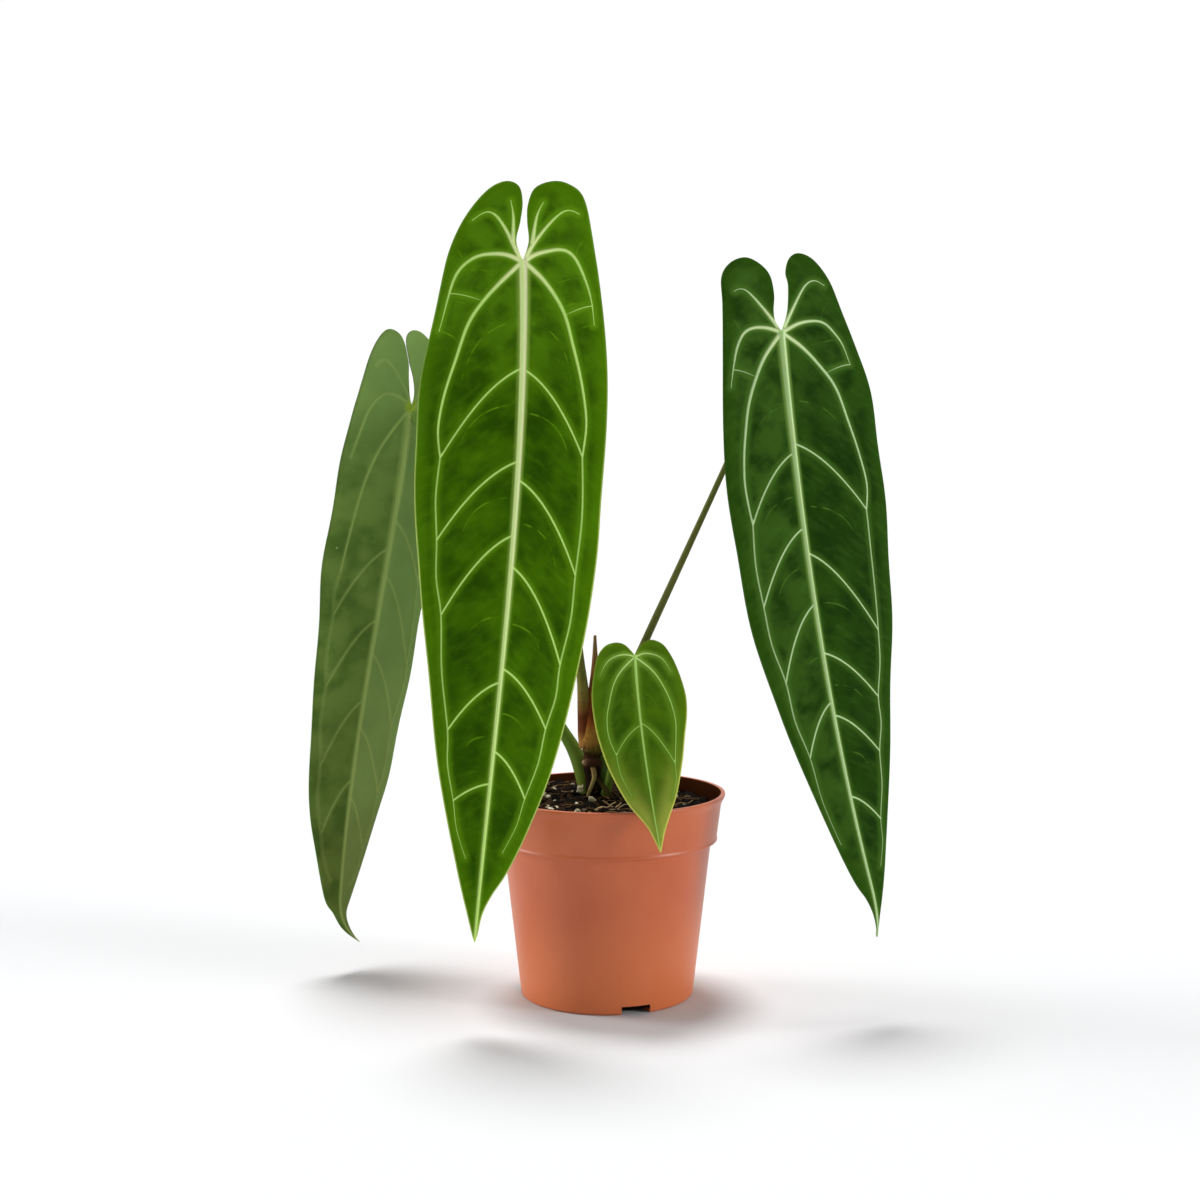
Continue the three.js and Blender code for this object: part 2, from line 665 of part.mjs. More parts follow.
// Points along each vein's crest and both its flanks, then a loose fill between them
function leafPoints(blade, veinSets, outline, spine) {
  const points = [...outline, ...spine.slice(1, -1)];
  const closedOutline = [...outline, outline[0]];
  const offer = (p, gap, edge) => {
    const clear = Math.abs(p.x) > clearance && points.every((q) => p.distanceTo(q) >= gap);
    const inside = clear && insidePolygon(p, outline);
    if (inside && distanceToLine(p, closedOutline) > edge) points.push(p);
  };
  for (const { veins, sign } of veinSets) {
    veins.forEach((vein, order) => {
      const thicker = veins.slice(0, order);
      for (let i = 0; i <= vein.steps; i += 1) {
        const t = i / vein.steps;
        const centre = vein.curve.getPointAt(t);
        const along = vein.curve.getTangentAt(t);
        const flank = new THREE.Vector2(-along.y, along.x);
        flank.multiplyScalar(mix(vein.width[0], vein.width[1], t));
        const crossing = thicker.some(({ fine, width }) => (
          distanceToLine(centre, fine) < width[0] + mesh.crossingGap));
        if (crossing) continue;
        const flanks = [centre.clone().add(flank), centre.clone().sub(flank)];
        offer(mirror([centre], sign)[0], mesh.crestGap, mesh.edgeGap);
        const kept = flanks.filter((p) => order > 0 || p.x >= 0);
        mirror(kept, sign).forEach((p) => offer(p, mesh.flankGap, mesh.edgeGap));
      }
    });
  }
  const room = blade.length < mesh.smallLeaf ? mesh.smallRoom : 1;
  const step = mesh.fill * room;
  const lobes = 42;
  for (let along = -lobes, row = 0; along < blade.length; along += step * 0.9, row += 1) {
    for (let column = -5; column <= 5; column += 1) {
      const fill = new THREE.Vector2((column + (row % 2) / 2) * step, along);
      if (Math.abs(fill.x) > step / 4) offer(fill, step * 0.56, mesh.fillEdgeGap * room);
    }
  }
  return points;
}

// One triangulation of the whole leaf plane that holds every stretch of margin and midrib
function leafNet(blade) {
  const veinSets = [[blade.left, -1], [blade.right, 1]].map(([half, sign]) => (
    { veins: veinsOf(half, blade.length), sign }));
  const midrib = veinSets[0].veins[0].curve;
  const spine = midrib.getSpacedPoints(Math.round(blade.length / mesh.vein));
  const right = marginPoints(blade.right, blade.length);
  const left = mirror(marginPoints(blade.left, blade.length), -1);
  const outline = [spine[0], ...right, spine.at(-1), ...left.reverse()];
  const points = leafPoints(blade, veinSets, outline, spine);
  const tip = right.length + 1;
  const inner = spine.slice(1, -1).map((_, i) => outline.length + i);
  const spineOrder = [0, ...inner, tip];
  let kept = [
    ...outline.map((_, i) => [i, (i + 1) % outline.length]),
    ...spineOrder.slice(1).map((b, i) => [spineOrder[i], b]),
  ];
  const edgeKey = (a, b) => `${Math.min(a, b)},${Math.max(a, b)}`;
  let triangles = [];
  for (let missing = 1, round = 0; missing > 0 && round < 10; round += 1) {
    triangles = delaunay(points);
    const sides = triangles.flatMap(([a, b, c]) => [edgeKey(a, b), edgeKey(b, c), edgeKey(c, a)]);
    const edges = new Set(sides);
    const halved = kept.flatMap(([a, b]) => {
      if (edges.has(edgeKey(a, b))) return [[a, b]];
      const middle = points.push(points[a].clone().lerp(points[b], 0.5)) - 1;
      return [[a, middle], [middle, b]];
    });
    missing = halved.length - kept.length;
    kept = halved;
  }
  const inside = triangles.filter((triangle) => {
    const middle = triangle.reduce((sum, i) => sum.add(points[i]), new THREE.Vector2()).divideScalar(3);
    return insidePolygon(middle, outline);
  });
  return { points, triangles: inside, veinSets };
}

// Delaunay triangles of points in a plane, by inserting them one at a time
function delaunay(points) {
  const far = 1e4;
  const corners = [[-far, -far], [far, -far], [0, far]].map(([x, y]) => new THREE.Vector2(x, y));
  const all = [...points, ...corners];
  const n = points.length;
  let triangles = [circled(all, n, n + 1, n + 2)];
  for (let i = 0; i < n; i += 1) {
    const hit = triangles.filter(({ x, y, r2 }) => (all[i].x - x) ** 2 + (all[i].y - y) ** 2 < r2);
    const edges = new Map();
    for (const { around: [a, b, c] } of hit) {
      for (const [p, q] of [[a, b], [b, c], [c, a]]) {
        if (edges.has(`${q},${p}`)) edges.delete(`${q},${p}`);
        else edges.set(`${p},${q}`, [p, q]);
      }
    }
    triangles = triangles.filter((triangle) => !hit.includes(triangle));
    for (const [p, q] of edges.values()) triangles.push(circled(all, p, q, i));
  }
  return triangles.map(({ around }) => around).filter((around) => around.every((i) => i < n));
}

function circled(points, a, b, c) {
  const [p, q, r] = [points[a], points[b], points[c]];
  const d = 2 * (p.x * (q.y - r.y) + q.x * (r.y - p.y) + r.x * (p.y - q.y));
  const [pp, qq, rr] = [p.lengthSq(), q.lengthSq(), r.lengthSq()];
  const x = (pp * (q.y - r.y) + qq * (r.y - p.y) + rr * (p.y - q.y)) / d;
  const y = (pp * (r.x - q.x) + qq * (p.x - r.x) + rr * (q.x - p.x)) / d;
  return { around: [a, b, c], x, y, r2: (p.x - x) ** 2 + (p.y - y) ** 2 };
}

// Blade in space: the leaf plane hung along its curved midrib

function placer(blade) {
  const curve = new THREE.CubicBezierCurve3(...blade.midrib.map(vector));
  const small = 1e-3;
  return (across, along, lift) => {
    const t = along / blade.length;
    const held = clamp(t, 0, 1);
    const down = curve.getPoint(t + small).sub(curve.getPoint(t - small)).normalize();
    const yaw = radians(mix(blade.facing[0], blade.facing[1], held));
    const front = new THREE.Vector3(Math.sin(yaw), -Math.cos(yaw), 0);
    front.addScaledVector(down, -front.dot(down)).normalize();
    const side = new THREE.Vector3().crossVectors(front, down);
    const reach = Math.abs(across);
    const turn = (along / wave.length) * Math.PI * 2 + (across > 0 ? wave.phase : 0);
    const fall = mix(blade.fold[0], blade.fold[1], held) * reach + blade.curl * reach ** 2
      + blade.ripple * (reach / wave.reach) ** 2 * Math.sin(turn);
    return curve.getPoint(t)
      .addScaledVector(side, across + sway(blade, along))
      .addScaledVector(front, lift - fall);
  };
}

function sway(blade, along) {
  const hooked = clamp((along - blade.length + leaning.hook) / leaning.hook, 0, 1);
  const above = Math.hypot(Math.min(along, 0), leaning.lobe) - leaning.lobe;
  const lean = blade.lobeLean * above;
  return lean + blade.hook * hooked ** 3;
}

function makeBlade(blade, net, front = 0, back = 0) {
  const place = placer(blade);
  const reliefs = net.points.map((p) => {
    const { veins } = net.veinSets[p.x < 0 ? 0 : 1];
    const toTip = clamp((p.y - blade.length + tipFade.length) / tipFade.length, 0, 1);
    const fading = 1 - toTip * tipFade.share;
    return reliefAt(veins, new THREE.Vector2(Math.abs(p.x), p.y)) * fading;
  });
  const upper = net.points.map((p, i) => place(p.x, p.y, reliefs[i] + front));
  const lower = net.points.map((p, i) => (
    place(p.x, p.y, -bladeThickness - undersideRelief * reliefs[i] - back)));
  return geometryFrom([...upper, ...lower], closedBetween(net.triangles, upper.length));
}

// Assembly

const finishes = {
  plastic: { color: 0xb9623e, roughness: 0.5, metalness: 0 },
  soil: { color: 0x2b1d15, roughness: 0.95, metalness: 0 },
  cane: { color: 0x4a3222, roughness: 0.8, metalness: 0 },
  root: { color: 0x9a7550, roughness: 0.8, metalness: 0 },
  sheath: { color: 0x8a5336, roughness: 0.75, metalness: 0 },
  petiole: { color: 0x55682f, roughness: 0.6, metalness: 0 },
};

const group = new THREE.Group();

function addPart(name, geometry, finish) {
  const mesh = new THREE.Mesh(geometry, new THREE.MeshStandardMaterial(finish));
  mesh.name = name;
  group.add(mesh);
}

const caneSteps = 14;
const caneSides = 10;
const petioleSteps = 24;
const petioleSides = 8;
const rootSteps = 9;
const rootSides = 6;
const jointRoom = 7;

const nets = new Map(Object.values(blades).map((blade) => [blade, leafNet(blade)]));
const grown = { cane: limb(cane, caneSteps, caneSides, clearance) };
addPart('pot', makePot(), finishes.plastic);
addPart('cane', limb(cane, caneSteps, caneSides), finishes.cane);

for (const [name, stations] of Object.entries(petioles)) {
  const blade = Object.values(blades).find((one) => one.petiole === name);
  const neighbours = [...Object.values(grown), makeBlade(blade, nets.get(blade), jointRoom, clearance)];
  addPart(name, carve(limb(stations, petioleSteps, petioleSides), neighbours), finishes.petiole);
  grown[name] = limb(stations, petioleSteps, petioleSides, clearance);
}

for (const [name, stations] of Object.entries(roots)) {
  addPart(name, carve(limb(stations, rootSteps, rootSides), Object.values(grown)), finishes.root);
  grown[name] = limb(stations, rootSteps, rootSides, clearance);
}

addPart('sheath', makeSheath(Object.values(grown)), finishes.sheath);
addPart('soil', makeSoil(Object.values(grown)), finishes.soil);

for (const [name, blade] of Object.entries(blades)) {
  addPart(name, makeBlade(blade, nets.get(blade)), { color: blade.colour, roughness: 0.6, metalness: 0 });
}

export default group;
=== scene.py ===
"""Dresses the potted queen anthurium: velvety veined blades, speckled stalks, bark soil, plastic pot.

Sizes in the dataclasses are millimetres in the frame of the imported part: the origin is the centre
of the pot's underside, +Z is up and the front is at -Y. Meshes are written in metres.
"""

import logging
import math
from dataclasses import dataclass
from enum import Enum
from typing import Any, Iterable, Sequence

import bmesh
import bpy
import numpy as np
from mathutils import Matrix, Vector, noise
from mathutils.geometry import delaunay_2d_cdt


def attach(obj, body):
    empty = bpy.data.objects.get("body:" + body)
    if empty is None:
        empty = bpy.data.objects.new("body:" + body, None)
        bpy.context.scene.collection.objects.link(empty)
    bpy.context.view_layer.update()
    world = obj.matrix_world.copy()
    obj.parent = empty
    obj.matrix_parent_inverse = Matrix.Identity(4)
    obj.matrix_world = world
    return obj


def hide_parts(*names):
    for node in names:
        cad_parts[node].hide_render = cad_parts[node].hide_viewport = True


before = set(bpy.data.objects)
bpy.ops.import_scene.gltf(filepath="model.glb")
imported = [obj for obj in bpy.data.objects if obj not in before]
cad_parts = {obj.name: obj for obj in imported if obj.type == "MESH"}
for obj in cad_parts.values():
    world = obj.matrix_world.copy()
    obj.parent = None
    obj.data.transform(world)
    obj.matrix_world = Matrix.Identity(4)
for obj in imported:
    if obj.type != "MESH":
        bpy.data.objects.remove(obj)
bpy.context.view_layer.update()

MM = 0.001
BODY = "root"
log = logging.getLogger("anthurium")

Array = np.ndarray
Node = bpy.types.Node
Tree = bpy.types.NodeTree
Material = bpy.types.Material
Piece = bpy.types.Object
Point2 = tuple[float, float]
Point3 = tuple[float, float, float]
Station = tuple[float, float, float, float]
Triangle = tuple[int, int, int]

SMOOTH = {"interpolation_type": "SMOOTHSTEP"}
MIX = {"data_type": "RGBA"}
PLUS = {"operation": "ADD"}
MINUS = {"operation": "SUBTRACT"}
TIMES = {"operation": "MULTIPLY"}
TIMES_PLUS = {"operation": "MULTIPLY_ADD"}
SCALED = {"operation": "SCALE"}
HIGHER = {"operation": "MAXIMUM"}
NUMBER = {"data_type": "FLOAT"}


# Colours, nodes and meshes

def linear(colour: str) -> tuple[float, float, float, float]:
    """Turn an sRGB hex colour into the linear values that a shader socket takes.

    Args:
        colour: Six hex digits, such as "b9623e".

    Returns:
        Linear red, green, blue and an alpha of one.
    """
    parts = [int(colour[i:i + 2], 16) / 255 for i in (0, 2, 4)]
    r, g, b = (c / 12.92 if c <= 0.04045 else ((c + 0.055) / 1.055) ** 2.4 for c in parts)
    return r, g, b, 1.0


def add_node(tree: Tree, kind: str, settings: dict[str, Any] | None = None,
             inputs: dict[Any, Any] | None = None) -> Node:
    """Add a node with its settings, and link or fill its inputs.

    Args:
        tree: The material's or the geometry tree.
        kind: Node type name.
        settings: Attributes of the node, set before its inputs.
        inputs: For each input name or index, a socket or a node to link from, whose first live
            output counts, or a plain value, where a colour may be an sRGB hex.

    Returns:
        The new node.
    """
    node = tree.nodes.new(kind)
    for name, value in (settings or {}).items():
        setattr(node, name, value)
    fill(tree, node, inputs or {})
    return node


def fill(tree: Tree, node: Node, inputs: dict[Any, Any]) -> None:
    """Link or fill a node's inputs, with values as add_node() takes them."""
    for name, value in inputs.items():
        if isinstance(value, bpy.types.Node):
            value = next(output for output in value.outputs if output.enabled)
        if isinstance(value, bpy.types.NodeSocket):
            tree.links.new(value, node.inputs[name])
        elif node.inputs[name].type == "RGBA" and isinstance(value, str):
            node.inputs[name].default_value = linear(value)
        else:
            node.inputs[name].default_value = value


def set_ramp(node: Node, stops: Sequence[tuple[float, str]]) -> Node:
    """Fill a Color Ramp node with places and sRGB hex colours, and return it."""
    ramp = node.color_ramp
    while len(ramp.elements) < len(stops):
        ramp.elements.new(1.0)
    for element, (place, colour) in zip(ramp.elements, stops):
        element.position = place
        element.color = linear(colour)
    return node


def paint(tree: Tree, colour: Node | str, layers: Iterable[tuple[Any, ...]]) -> Node:
    """Lay tones over a colour, each as strongly as smooth ranges of some fields say.

    Args:
        tree: The material's tree.
        colour: The lowest colour, as a node or an sRGB hex.
        layers: For each layer a tone, then one or more lists of factors. A factor is a value, or
            a field with its start and end and the share at each. A list's factors are multiplied,
            and the highest list counts.

    Returns:
        The last Mix node.
    """
    for tone, *choices in layers:
        best = None
        for factors in choices:
            share = None
            for factor in factors:
                if isinstance(factor, tuple):
                    factor = add_node(tree, "ShaderNodeMapRange", SMOOTH, dict(enumerate(factor)))
                if share:
                    factor = add_node(tree, "ShaderNodeMath", TIMES, {0: share, 1: factor})
                share = factor
            if best:
                share = add_node(tree, "ShaderNodeMath", HIGHER, {0: best, 1: share})
            best = share
        colour = add_node(tree, "ShaderNodeMix", MIX, {0: best, 6: colour, 7: tone})
    return colour


def new_material(name: str) -> tuple[Material, Tree, Node]:
    """Make an empty Principled material.

    Args:
        name: What the real material is and how its surface was made.

    Returns:
        The material, its node tree and its Principled shader node.
    """
    material = bpy.data.materials.new(name)
    material.use_nodes = True
    tree = material.node_tree
    tree.nodes.clear()
    shader = add_node(tree, "ShaderNodeBsdfPrincipled")
    add_node(tree, "ShaderNodeOutputMaterial", inputs={"Surface": shader.outputs["BSDF"]})
    return material, tree, shader


def placed(name: str, data: bpy.types.ID) -> Piece:
    """Put mesh, camera or light data into the scene as an object, and return it."""
    piece = bpy.data.objects.new(name, data)
    bpy.context.scene.collection.objects.link(piece)
    return piece


def mesh_piece(name: str, points: Array, faces: Sequence[Sequence[int]], material: Material,
               sharp_degrees: float = 60) -> Piece:
    """Make a smooth-shaded mesh object from points in millimetres.

    Args:
        name: The piece's name.
        points: Vertex places, one row each.
        faces: Vertex numbers of each face.
        material: Its only material.
        sharp_degrees: Edges that turn by more than this stay sharp.

    Returns:
        The object, linked to the scene.
    """
    mesh = bpy.data.meshes.new(name)
    mesh.from_pydata((np.asarray(points) * MM).tolist(), [], [list(face) for face in faces])
    mesh.validate()
    mesh.materials.append(material)
    mesh.shade_smooth()
    mesh.set_sharp_from_angle(angle=math.radians(sharp_degrees))
    return placed(name, mesh)


def ring_faces(rings: int, sides: int) -> list[tuple[int, ...]]:
    """Return the faces of a closed skin made of one point, equal rings and one last point."""
    last = rings * sides + 1
    faces: list[tuple[int, ...]] = []
    for j in range(sides):
        k = (j + 1) % sides
        faces.append((0, 1 + k, 1 + j))
        faces += [(a + j, a + k, a + sides + k, a + sides + j)
                  for a in range(1, last - sides, sides)]
        faces.append((last - sides + j, last - sides + k, last))
    return faces


def outward(piece: Piece) -> Piece:
    """Turn every face of a closed piece outwards, and return the piece."""
    shape = bmesh.new()
    shape.from_mesh(piece.data)
    bmesh.ops.recalc_face_normals(shape, faces=shape.faces)
    shape.to_mesh(piece.data)
    shape.free()
    return piece


def store(piece: Piece, name: str, values: Array) -> None:
    """Keep one number at each vertex of a piece, under that attribute name."""
    layer = piece.data.attributes.new(name, "FLOAT", "POINT")
    layer.data.foreach_set("value", np.asarray(values, np.float32))


def finish_piece(piece: Piece, slot: str, *nodes: str) -> Piece:
    """Hang a finished piece on the part's body and let it stand for CAD nodes.

    Args:
        piece: The finished object.
        slot: The record's material slot; not used.
        nodes: CAD nodes that the piece replaces.

    Returns:
        The same object.
    """
    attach(piece, BODY)
    if nodes:
        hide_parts(*nodes)
    log.info("%s: %d faces", piece.name, len(piece.data.polygons))
    return piece


# Lines and distances

def stretch(p: Array, q: Array, v: Array, w: Array, steps: int) -> Array:
    """Return places of a cubic from p up to q that leaves p at velocity v and meets q at w."""
    t = np.linspace(0, 1, steps, endpoint=False)[:, None]
    return (2 * p - 2 * q + v + w) * t ** 3 + (-3 * p + 3 * q - 2 * v - w) * t ** 2 + v * t + p


def smooth_line(points: Sequence[Sequence[float]], steps: int) -> Array:
    """Run a uniform Catmull-Rom line through points in any number of dimensions.

    Args:
        points: The points it passes through.
        steps: Places on each stretch.

    Returns:
        One row for each place, both ends included.
    """
    p = np.asarray(points, float)
    last = len(p) - 1
    rows = []
    for i in range(last):
        p0, p1, p2, p3 = p[max(i - 1, 0)], p[i], p[i + 1], p[min(i + 2, last)]
        rows.append(stretch(p1, p2, (p2 - p0) / 2, (p3 - p1) / 2, steps))
    return np.vstack([*rows, p[-1:]])


def growing_line(points: Array, steps: int) -> Array:
    """Run a centripetal Catmull-Rom line through points in space, as stalks grow.

    Args:
        points: The points it passes through.
        steps: Places on each stretch.

    Returns:
        One row for each place, both ends included.
    """
    p = np.vstack([2 * points[0] - points[1], points, 2 * points[-1] - points[-2]])
    rows = []
    for i in range(len(points) - 1):
        p0, p1, p2, p3 = p[i:i + 4]
        d0, d1, d2 = (math.sqrt(np.linalg.norm(b - a)) for a, b in ((p0, p1), (p1, p2), (p2, p3)))
        v0 = ((p1 - p0) / d0 - (p2 - p0) / (d0 + d1) + (p2 - p1) / d1) * d1
        v1 = ((p2 - p1) / d1 - (p3 - p1) / (d1 + d2) + (p3 - p2) / d2) * d1
        rows.append(stretch(p1, p2, v0, v1, steps))
    return np.vstack([*rows, points[-1:]])


def evenly(line: Array, spacing: float) -> Array:
    """Return places along a line that stand about that far apart, both ends included."""
    walked = np.concatenate([[0], np.cumsum(np.linalg.norm(np.diff(line, axis=0), axis=1))])
    count = max(2, int(round(walked[-1] / spacing)) + 1)
    wanted = np.linspace(0, walked[-1], count)
    return np.stack([np.interp(wanted, walked, line[:, k]) for k in range(line.shape[1])], axis=1)


def nearest_on(line: Array, points: Array, reach: float = 1000.0) -> tuple[Array, Array]:
    """Measure how far points in a plane are from a line.

    Args:
        line: The line's places, in order.
        points: The points to measure.
        reach: Points further than this from the line's box are left at that distance.

    Returns:
        Each point's distance, and how far along the line its nearest place is, from 0 to 1.
    """
    best = np.full(len(points), float(reach))
    place = np.zeros(len(points))
    beside = (points > line.min(axis=0) - reach) & (points < line.max(axis=0) + reach)
    near = np.flatnonzero(beside.all(axis=1))
    count = len(line) - 1
    for i in range(count):
        step = line[i + 1] - line[i]
        length = float(step @ step) or 1e-12
        t = np.clip(((points[near] - line[i]) @ step) / length, 0, 1)
        away = np.linalg.norm(points[near] - line[i] - t[:, None] * step, axis=1)
        closer = away < best[near]
        best[near[closer]] = away[closer]
        place[near[closer]] = (i + t[closer]) / count
    return best, place


def ease(values: Array | float) -> Array:
    """Smooth step of values held between zero and one."""
    held = np.clip(values, 0, 1)
    return held * held * (3 - 2 * held)


# Leaves

@dataclass(frozen=True)
class HalfForm:
    """One half of a blade in the leaf plane, as (across, along) with across positive.

    A lateral is its start along the midrib, then the place of its end. The vein near the margin
    fades out at fade. A bridge ties the rays together that far along the outer one, or not at all.
    """

    margin: tuple[Point2, ...]
    rays: tuple[tuple[Point2, ...], ...]
    laterals: tuple[tuple[float, float, float], ...]
    fade: Point2
    bridge: float = 0.0


@dataclass(frozen=True)
class LeafForm:
    """A blade's outline, veins and hang, repeated from the part's source.

    The midrib is the four control points of a curve. Facing and fold are given at its top and at
    its end, facing in degrees from the front.
    """

    length: float
    midrib: tuple[Point3, ...]
    facing: Point2
    fold: Point2
    curl: float
    ripple: float
    lobe_lean: float
    hook: float
    left: HalfForm
    right: HalfForm


